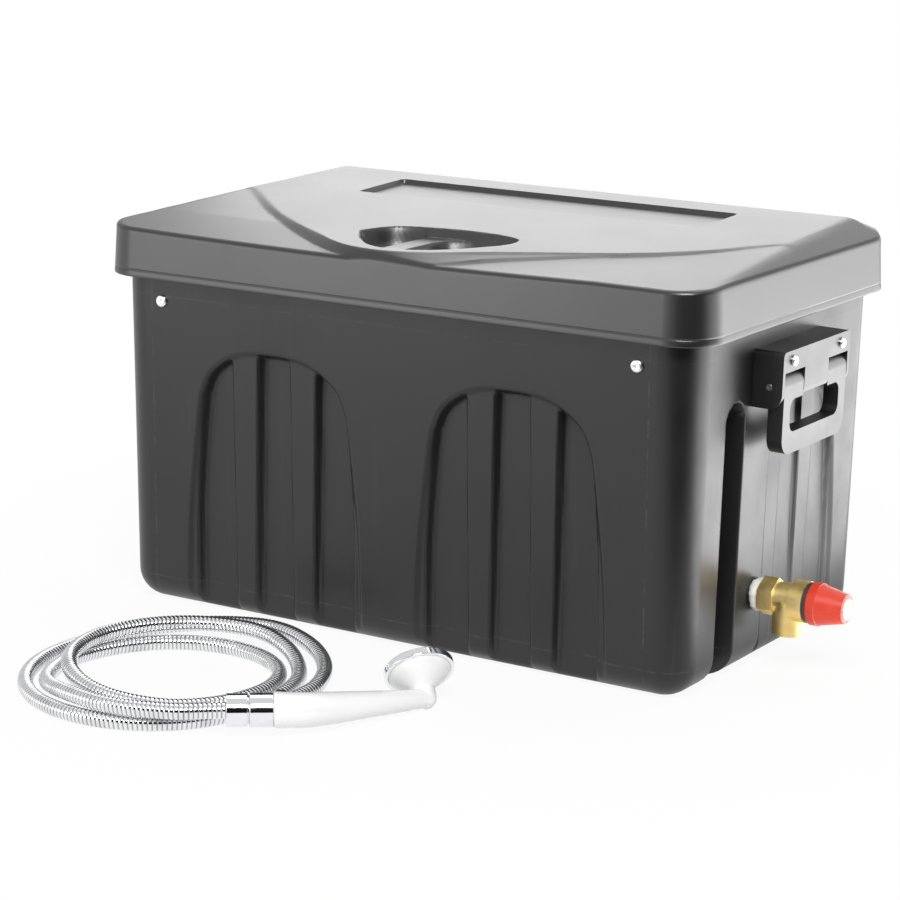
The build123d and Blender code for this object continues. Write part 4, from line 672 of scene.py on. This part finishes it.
LID_WALL = 4.2
LID_LUG_START = 171.0
LID_LUG_GAP = 3.0
HOOK_STEPS = 9
CURL_STEPS = 7
EDGE_STEPS = (0, .15, .6, 1.3, 2.2, 3.5)
EDGE_INSET = 4
HALF_RUNS = ((0, 74, 1.5), (74, 161, 3), (161, 167, .7), (167, 244, 3), (244, 254, 1.4),
             (254, LID_X - EDGE_INSET, 4))
DEPTH_RUNS = ((EDGE_INSET - LID_Y, -136, 1.2), (-136, -60, 2.0), (-60, 12, 3), (12, 40, 5.5), (40, 44, .7),
              (44, 109, 9), (109, 113, .7), (113, 141, 6), (141, 151, 1.6), (151, LID_Y - EDGE_INSET, 4))
SKIRT_PROFILE = ((.15, 312), (.9, 298), (1.55, 285.2), (1.6, 284.6), (1.1, 284.2), (1.1, 283.4), (1.7, 283),
                 (2, 279.4), (1.7, 278.4), (1, 278), (-1.4, 278), (-2, 278.6), (-3.4, 298), (-4.1, 311))


def framed(x, y, half_x, half_y, corner):
    """How far points lie inside a round-cornered rectangle, and both parts of their overshoot of its core."""
    over_x, over_y = abs(x) - half_x + corner, abs(y) - half_y + corner
    past_x, past_y = np.maximum(over_x, 0), np.maximum(over_y, 0)
    outside = np.hypot(past_x, past_y) + np.minimum(np.maximum(over_x, over_y), 0)
    return corner - outside, past_x * np.sign(x), past_y * np.sign(y)


def lower(first, second):
    """The lower of two heights, eased where they meet: minus the log of a sum of two falling exponentials."""
    return -FOLD * np.logaddexp(-first / FOLD, -second / FOLD)


def swoosh_line(across, back):
    """A closed outline: a smooth line through a table from the left end to the right, then round the back."""
    steps = np.linspace(0.0, len(across) - 1, OUTLINE_POINTS)
    line = np.stack((smooth_through(across, steps), smooth_through(back, steps)), axis=1)
    return np.vstack(((-BEYOND, back[0]), line, (BEYOND, back[-1]), (BEYOND, BEYOND), (-BEYOND, BEYOND)))


swoosh_rim = swoosh_line(SWOOSH_RIM_X, SWOOSH_RIM_Y)
swoosh_foot = swoosh_line(SWOOSH_FOOT_X, SWOOSH_FOOT_Y)
cup_steps = np.linspace(0.0, len(CUP_X) - 1, CUP_POINTS)[:-1]
cup_line = np.stack((smooth_through(CUP_X, cup_steps), smooth_through(CUP_Y, cup_steps)), axis=1)


def lid_height(x, y):
    """The lid's top: the lowest of panel, chamfers and dipped front facet, the facet let go from the swoosh's
    foot line to its rim line, less the cup with its tongue and the plate, each eased at its edge."""
    panel = PANEL_LEVEL + PANEL_SLOPE * y
    ends = EDGE_LEVEL + (LID_X - abs(x)) * CHAMFER_RISE / END_CHAMFER
    back = EDGE_LEVEL + (LID_Y - y) * CHAMFER_RISE / BACK_CHAMFER
    crown = lower(lower(panel, ends), back)
    dip_across = np.clip(1 - ((x - DIP_X) / DIP_HALF) ** 2, 0, 1)
    dip = FRONT_DIP * dip_across * np.clip(1 - (y + LID_Y) / DIP_REACH, 0, 1)
    facet = lower(crown, EDGE_LEVEL + FACET_SLOPE * (y + LID_Y) - dip)
    past_foot = inside_distance(x, y, swoosh_foot) + SWOOSH_SOFT
    short_of_rim = SWOOSH_SOFT - inside_distance(x, y, swoosh_rim)
    share = np.clip(past_foot / np.maximum(past_foot + short_of_rim, SWOOSH_SOFT), 0.0, 1.0)
    stepped = eased((x - STEPPED_X[0]) / (STEPPED_X[1] - STEPPED_X[0]))
    top = facet + (crown - facet) * (share + (np.interp(share, *SWOOSH_STEPS) - share) * stepped)
    inwards = np.clip((y - TONGUE_BACK[0]) / (TONGUE_BACK[1] - TONGUE_BACK[0]), 0.0, 1.0)
    lean = 3 * TONGUE_FLARE * inwards ** 2 / (TONGUE_BACK[1] - TONGUE_BACK[0])
    right_side = (TONGUE_RIGHT + TONGUE_FLARE * inwards ** 3 - x) / np.hypot(1.0, lean)
    tongue = eased(np.minimum(x - TONGUE_LEFT, right_side) / TONGUE_SOFT + 0.5)
    cup = eased(inside_distance(x, y, cup_line) / CUP_SOFT)
    top = top + (WELL_FLOOR + (CUP_LEDGE - WELL_FLOOR) * tongue - top) * cup
    middle = (PLATE_FRONT + PLATE_BACK) / 2
    plate = framed(x, y - middle, PLATE_HALF, PLATE_BACK - middle, PLATE_CORNER)[0]
    return top - PLATE_DEPTH * eased(plate / PLATE_SOFT + 0.5)


edge_steps = np.array(EDGE_STEPS)
half_lines = lines(*HALF_RUNS)
x_lines = np.concatenate((edge_steps - LID_X, -half_lines[:0:-1], half_lines, LID_X - edge_steps[::-1]))
y_lines = np.concatenate((edge_steps - LID_Y, lines(*DEPTH_RUNS), LID_Y - edge_steps[::-1]))
plan_x, plan_y = np.meshgrid(x_lines, y_lines)
_, core_x, core_y = framed(plan_x, plan_y, LID_X, LID_Y, LID_CORNER)
share_x, share_y = core_x / LID_CORNER, core_y / LID_CORNER
lid_x = plan_x - core_x * (1 - np.sqrt(1 - share_y ** 2 / 2))
lid_y = plan_y - core_y * (1 - np.sqrt(1 - share_x ** 2 / 2))
depth_in, out_x, out_y = framed(lid_x, lid_y, LID_X, LID_Y, LID_CORNER)
short = np.clip(LID_EDGE - depth_in, 0.0, LID_EDGE)
plain_top = lid_height(lid_x, lid_y)
lid_top = plain_top - LID_EDGE + np.sqrt(LID_EDGE ** 2 - short ** 2)
top_rows, top_columns = lid_x.shape
numbers = np.arange(lid_x.size).reshape(lid_x.shape)
border = np.concatenate((numbers[0, :-1], numbers[:-1, -1], numbers[-1, :0:-1], numbers[:0:-1, 0]))
border_x, border_y = lid_x.ravel()[border], lid_y.ravel()[border]
out = np.stack((out_x.ravel()[border], out_y.ravel()[border]), axis=1)
out /= np.linalg.norm(out, axis=1)[:, None]
skirt = np.stack([np.column_stack((border_x + out[:, 0] * offset, border_y + out[:, 1] * offset,
                                   np.full(len(border), float(level)))) for offset, level in SKIRT_PROFILE])
under = np.stack((lid_x * (1 - LID_WALL / LID_X), lid_y * (1 - LID_WALL / LID_Y), plain_top - LID_WALL),
                 axis=-1)
outer_count = lid_x.size
skirt_count = skirt.shape[0] * skirt.shape[1]
skirt_numbers = outer_count + np.arange(skirt_count).reshape(skirt.shape[:2])
loops = np.vstack((border, skirt_numbers, border + outer_count + skirt_count))
upper, below = loops[:-1], loops[1:]
below_next, upper_next = np.roll(below, -1, axis=1), np.roll(upper, -1, axis=1)
skirt_faces = np.stack((below, below_next, upper_next, upper), axis=-1).reshape(-1, 4)
top_faces = lattice(top_rows, top_columns, ring=False)
under_faces = top_faces[:, ::-1] + outer_count + skirt_count
lid_corners = np.vstack((np.stack((lid_x, lid_y, lid_top), axis=-1).reshape(-1, 3), skirt.reshape(-1, 3),
                         under.reshape(-1, 3)))
lid_mesh = meshed("lid_moulded", lid_corners, np.vstack((top_faces, skirt_faces, under_faces)).tolist())
lid_piece = shown("lid_moulded", lid_mesh, "lid", "lid", "lid")
eased_edges(lid_piece)
lid_plastic = moulded("lid_plastic", (0.01, 0.01, 0.0105), 0.34, 0.9, wear=0.15)
lid_mesh.materials.append(lid_plastic)
hook_turn = np.linspace(-pi / 4, pi / 2, HOOK_STEPS)
curl_turn = np.linspace(0, pi / 2, CURL_STEPS)[1:]
lid_lug = [(LID_LUG_START, HINGE_Z + KNUCKLE_RISE), (LID_LUG_START, HINGE_Z + KNUCKLE_R + LID_LUG_GAP)]
lid_lug += [(HINGE_Y - KNUCKLE_R * cos(t), HINGE_Z - KNUCKLE_R * sin(t)) for t in hook_turn]
lid_lug += [(HINGE_Y + KNUCKLE_R * sin(t), HINGE_Z - KNUCKLE_R * cos(t)) for t in curl_turn]
lid_lug += [(HINGE_Y + KNUCKLE_R, HINGE_Z + KNUCKLE_RISE)]
lid_spans = [(side * HINGE_X - LID_KNUCKLE / 2, side * HINGE_X + LID_KNUCKLE / 2) for side in (-1, 1)]
lug("lid_lugs", lid_lug, lid_spans, "lid", "lid", lid_plastic)


# Carrying handles
# A black bracket on each end with a drop bail hung in it: glass-filled plastic, moulded, edges eased.
# Each bail swings on two steel pins, and two pan-head screws hold each bracket to the wall.
HANDLE_EDGE = 1.1
handle_plastic = moulded("handle_plastic", (0.009, 0.009, 0.0095), 0.38, 0.9)
for end in ("right", "left"):
    softened("handle_base_" + end, "handle", HANDLE_EDGE, handle_plastic, segments=3)
    softened("handle_bail_" + end, "handle", HANDLE_EDGE, handle_plastic, segments=3)
    softened("handle_pins_" + end, "steel", PIN_EDGE, pin_steel)


# Screws and nuts
# Zinc-plated pan-head machine screws: two through each bracket, four holding the inner deck, nuts inside.
# The plating is bright and slightly cloudy.
SCREW_EDGE = 0.25
zinc = clouded("screw_zinc", 350.0, (0.68, 0.69, 0.7), (0.92, 0.92, 0.92), (0.2, 0.36), 1.0, 4.0,
               bumps=(0.05, 0.0002))
for node in ("handle_screws", "handle_nuts", "deck_screws", "deck_nuts"):
    softened(node, "zinc", SCREW_EDGE, zinc)


# Safety valve
# A small brass angle valve screwed into the wall: forged hex and body, a dark ring under a red cap
# with a white disc in its end, and a lump of white thread sealant where it enters the box.
VALVE_Y = -36.0
VALVE_Z = 61.5
SEALANT_RING = 10.6
SEALANT_THICK = 2.6
SEALANT_LONG = 3.4
SEALANT_X = 267.9
SEALANT_TURNS = 64
SEALANT_SIDES = 16
LUMP_SIZES = (0.16, 0.1, 0.06)
LUMP_COUNTS = (3, 7, 13)
LUMP_SHIFTS = (0.7, 0.0, 1.0)
NIPPLE_EDGE = 0.3
BODY_EDGE = 0.6
RING_EDGE = 0.3
CAP_EDGE = 0.45
DISC_EDGE = 0.2
brass = Finish("brass")
brass_place = brass.place()
brass_cloud = brass.noise(brass_place, 55.0, 5.0, 0.6)
brass_pits = brass.noise(brass_place, 700.0, 3.0)
valve_brass = brass.surface({
    "Base Color": brass.blend(brass.ramp(brass_cloud, 0.35, 0.7), (0.86, 0.62, 0.22, 1),
                              (0.95, 0.76, 0.36, 1)),
    "Metallic": 1.0, "Roughness": brass.ramp(brass_cloud, 0.3, 0.7, 0.4, 0.52),
    "Normal": brass.bump(brass_pits, 0.1, 0.0003)})
softened("valve_nipple", "brass", NIPPLE_EDGE, valve_brass)
softened("valve_body", "brass", BODY_EDGE, valve_brass, segments=3)
softened("valve_stem", "steel", PIN_EDGE, pin_steel)

turn = 2 * pi * np.arange(SEALANT_TURNS)[:, None] / SEALANT_TURNS
round_turn = 2 * pi * np.arange(SEALANT_SIDES)[None, :] / SEALANT_SIDES
waves = [size * np.sin(count * turn + shift)
         for size, count, shift in zip(LUMP_SIZES, LUMP_COUNTS, LUMP_SHIFTS)]
lumps = 1 + waves[0] + waves[1] * np.cos(round_turn) + waves[2]
ring_reach = SEALANT_RING + SEALANT_THICK * lumps * np.cos(round_turn)
sealant_corners = np.stack((SEALANT_X - SEALANT_LONG * lumps * np.sin(round_turn),
                            VALVE_Y + ring_reach * np.cos(turn),
                            VALVE_Z + ring_reach * np.sin(turn)), axis=-1)
sealant_faces = lattice(SEALANT_TURNS + 1, SEALANT_SIDES) % (SEALANT_TURNS * SEALANT_SIDES)
sealant_mesh = meshed("sealant_lump", sealant_corners, sealant_faces.tolist())
sealant_mesh.materials.append(clouded(
    "sealant_paste", 260.0, (0.72, 0.71, 0.67), (0.9, 0.89, 0.86), (0.25, 0.5), detail=4.0,
    bumps=(0.3, 0.0006)))
shown("sealant_lump", sealant_mesh, "heater", "sealant", "valve_sealant")

softened("valve_ring", "dark_ring", RING_EDGE, clouded(
    "ring_plastic", 120.0, (0.03, 0.028, 0.026), (0.06, 0.055, 0.05), (0.35, 0.5)))

cap_red = Finish("cap_red")
red_cloud = cap_red.noise(cap_red.place(), 90.0, 4.0)
red_grain = cap_red.noise(cap_red.place(), 1600.0)
softened("valve_cap", "red", CAP_EDGE, cap_red.surface({
    "Base Color": cap_red.blend(red_cloud, (0.66, 0.042, 0.018, 1), (0.82, 0.07, 0.03, 1)),
    "Roughness": cap_red.ramp(red_cloud, 0.3, 0.7, 0.34, 0.46),
    "Normal": cap_red.bump(red_grain, 0.06, 0.0002)}))

softened("valve_cap_disc", "white", DISC_EDGE, clouded(
    "disc_white", 250.0, (0.62, 0.58, 0.56), (0.8, 0.78, 0.76), (0.3, 0.45)))
softened("valve_spring", "steel", 0, clouded(
    "spring_steel", 400.0, (0.55, 0.55, 0.54), (0.7, 0.7, 0.69), (0.2, 0.35), 1.0))


# Hand shower
# A white ABS hand shower laid down: a chromed collar and a tapering grip whose elbow rests on the floor,
# a domed head that faces up and away, a chromed ring and a white spray plate with rings of nozzles.
COLLAR_EDGE = 0.6
HEAD_RING_EDGE = 0.8
GRIP_EDGE = 0.6
SPRAY_EDGE = 0.3
white_gloss = clouded("shower_white", 25.0, (0.9, 0.9, 0.9), (0.95, 0.95, 0.95), (0.1, 0.2), detail=4.0,
                      coat=0.3)
shower_chrome = chrome("shower_chrome", (0.35, 0.35, 0.36, 1))
softened("shower_collar", "chrome", COLLAR_EDGE, shower_chrome)
softened("shower_ring", "chrome", HEAD_RING_EDGE, shower_chrome, segments=3)
softened("shower_grip", "white", GRIP_EDGE, white_gloss)
softened("shower_spray", "white", SPRAY_EDGE, white_gloss)


# Left end fittings
# Brass bulkhead fittings for cold and hot water, rubber washers, a black cable gland and a rocker switch.
# They are out of sight from the front right, held by nuts inside the wall.
FITTING_EDGE = 0.4
WASHER_EDGE = 0.2
NYLON_EDGE = 0.4
ROCKER_EDGE = 0.6
fitting = clouded("fitting_brass", 60.0, (0.72, 0.49, 0.17), (0.85, 0.63, 0.29), (0.2, 0.34), 1.0, 4.0)
for node in ("bulkhead_fittings", "bulkhead_nuts"):
    softened(node, "brass", FITTING_EDGE, fitting)
black_rubber = clouded("black_rubber", 200.0, (0.012, 0.012, 0.012), (0.028, 0.028, 0.028), (0.6, 0.8))
softened("bulkhead_washers", "rubber", WASHER_EDGE, black_rubber)
black_nylon = moulded("black_nylon", (0.016, 0.016, 0.017), 0.36)
for node in ("cable_gland", "gland_nut", "switch_frame"):
    softened(node, "black_part", NYLON_EDGE, black_nylon)
softened("switch_rocker", "rocker", ROCKER_EDGE, moulded("rocker_plastic", (0.35, 0.02, 0.015), 0.3))


# Inner deck and heater
# A bent aluminium sheet closes the box under the lid. Below it lie the strapped stainless boiler in its foam
# jacket, its brass flange, element, thermostat and stainless pipes.
DECK_EDGE = 0.5
softened("inner_deck", "deck", DECK_EDGE, clouded(
    "deck_sheet", 1.0, (0.62, 0.62, 0.63), (0.78, 0.78, 0.79), (0.32, 0.46), 1.0,
    stretch=(6.0, 700.0, 700.0)))
stainless = clouded("tank_steel", 1.0, (0.52, 0.52, 0.52), (0.68, 0.68, 0.67), (0.24, 0.4), 1.0,
                    stretch=(8.0, 900.0, 900.0))
foam = clouded("jacket_foam", 500.0, (0.1, 0.1, 0.1), (0.2, 0.2, 0.2), (0.8, 0.95), bumps=(0.4, 0.001))
inside_looks = {
    "boiler_tank": stainless, "boiler_straps": stainless, "heater_flange": fitting,
    "heater_element": stainless, "cold_pipe": stainless, "hot_pipe": stainless, "boiler_jacket": foam,
    "boiler_saddles": foam, "strap_screws": zinc, "flange_bolts": zinc, "heater_gasket": black_rubber,
    "thermostat": black_nylon, "terminal_cover": black_nylon}
for node, material in inside_looks.items():
    dressed(node, material)


# Floor and light
# A pale studio floor that runs out to white. Large soft lights stand low behind the box on both sides, so the
# lid and the right end shine and the front stays dark; others hang overhead, over the camera and at the front
# left. Black cloths by the camera, on the floor and high at the back darken the near corner and the chamfers.
FLOOR_HALF = 20.0
WHITE_FROM = 0.35
WHITE_TO = 0.75
NEAR_WHITE = 0.93
CLOTHS = {
    "flag_front": ((0.3, -3.6, 0), (3.0, -1.9, 0), (3.0, -1.9, 2.0), (0.3, -3.6, 2.0)),
    "flag_right": ((3.0, -1.9, 0), (3.4, 0.4, 0), (3.4, 0.4, 2.0), (3.0, -1.9, 2.0)),
    "flag_back": ((-1.6, 3.2, 1.9), (1.6, 3.2, 1.9), (1.6, 3.2, 3.4), (-1.6, 3.2, 3.4)),
    "floor_cloth": ((0.42, -0.3, 0.003), (0.5, -3.4, 0.003), (3.4, -1.6, 0.003), (3.4, -0.1, 0.003))}
LIGHTS = (
    ("overhead", (-0.2, 1.2, 2.4), (0, 0, 0.3), 3.0, 2.0, 28),
    ("behind_left", (-1.0, 2.5, 0.95), (0, 0, 0.33), 2.0, 1.5, 20),
    ("behind_right", (1.5, 1.9, 0.5), (0.27, 0, 0.15), 1.8, 1.0, 17),
    ("floor_right", (0.95, 0.8, 0.004), (0.95, 0.8, 1.0), 1.2, 1.7, 27),
    ("front_left", (-0.9, -1.5, 0.35), (0, 0, 0.3), 1.0, 0.6, 5),
    ("camera_fill", (1.6, -2.4, 2.6), (0.1, -0.2, 0.1), 1.6, 1.2, 108))
floor_mesh = bpy.data.meshes.new("floor")
floor_mesh.from_pydata([(-FLOOR_HALF, -FLOOR_HALF, 0), (FLOOR_HALF, -FLOOR_HALF, 0),
                        (FLOOR_HALF, FLOOR_HALF, 0), (-FLOOR_HALF, FLOOR_HALF, 0)], [], [(0, 1, 2, 3)])
floor = bpy.data.objects.new("floor", floor_mesh)
bpy.context.scene.collection.objects.link(floor)
paper = Finish("floor_paper")
away = paper.node("ShaderNodeVectorMath", {"operation": "LENGTH"}, {0: paper.place()}, "Value")
seen = paper.ray("Is Camera Ray") + paper.ray("Is Glossy Ray") + paper.ray("Is Transmission Ray")
white_share = paper.ramp(away, WHITE_FROM, WHITE_TO, NEAR_WHITE, 1.0) * seen
lit = paper.node("ShaderNodeBsdfDiffuse", {}, {"Color": (0.86, 0.86, 0.86, 1)})
glow = paper.node("ShaderNodeEmission", {}, {"Color": (1, 1, 1, 1), "Strength": 1.0})
shade = paper.node("ShaderNodeMixShader", {}, {0: white_share, 1: lit, 2: glow})
paper.node("ShaderNodeOutputMaterial", {}, {"Surface": shade})
floor_mesh.materials.append(paper.owner)

room = bpy.data.worlds.new("room")
bpy.context.scene.world = room
sky = Finish("room", room)
sky_seen = sky.ray("Is Camera Ray")
sky_shiny = sky.ray("Is Glossy Ray")
sky_low = sky.node("ShaderNodeBackground", {}, {"Color": (1, 1, 1, 1), "Strength": 0.25})
sky_bright = sky.node("ShaderNodeBackground", {}, {"Color": (1, 1, 1, 1), "Strength": 0.75})
sky_white = sky.node("ShaderNodeBackground", {}, {"Color": (1, 1, 1, 1), "Strength": 1.0})
sky_lit = sky.node("ShaderNodeMixShader", {}, {0: sky_shiny, 1: sky_low, 2: sky_bright})
sky.node("ShaderNodeOutputWorld", {}, {"Surface": sky.node(
    "ShaderNodeMixShader", {}, {0: sky_seen, 1: sky_lit, 2: sky_white})})


def softbox(name, place, aim, width, depth, watts):
    """A rectangular soft light at a place, turned to a point."""
    lamp = bpy.data.lights.new(name, "AREA")
    lamp.shape = "RECTANGLE"
    lamp.size = width
    lamp.size_y = depth
    lamp.energy = watts
    box = bpy.data.objects.new(name, lamp)
    facing = (Vector(place) - Vector(aim)).to_track_quat("Z", "Y")
    box.matrix_world = Matrix.Translation(place) @ facing.to_matrix().to_4x4()
    box.visible_camera = False
    bpy.context.scene.collection.objects.link(box)


for light in LIGHTS:
    softbox(*light)

cloth = Finish("black_cloth")
weave = cloth.noise(cloth.place(), 400.0)
cloth_black = cloth.surface({
    "Base Color": cloth.blend(weave, (0.004, 0.004, 0.004, 1), (0.01, 0.01, 0.01, 1)), "Roughness": 0.9,
    "Specular IOR Level": 0.0})
for name, corners in CLOTHS.items():
    cloth_mesh = bpy.data.meshes.new(name)
    cloth_mesh.from_pydata(corners, [], [(0, 1, 2, 3)])
    cloth_mesh.materials.append(cloth_black)
    sheet_of_cloth = bpy.data.objects.new(name, cloth_mesh)
    sheet_of_cloth.visible_camera = False
    sheet_of_cloth.visible_shadow = name != "floor_cloth"
    sheet_of_cloth.visible_diffuse = name != "floor_cloth"
    bpy.context.scene.collection.objects.link(sheet_of_cloth)
bpy.context.scene.view_settings.view_transform = "Standard"
bpy.context.scene.view_settings.look = "None"
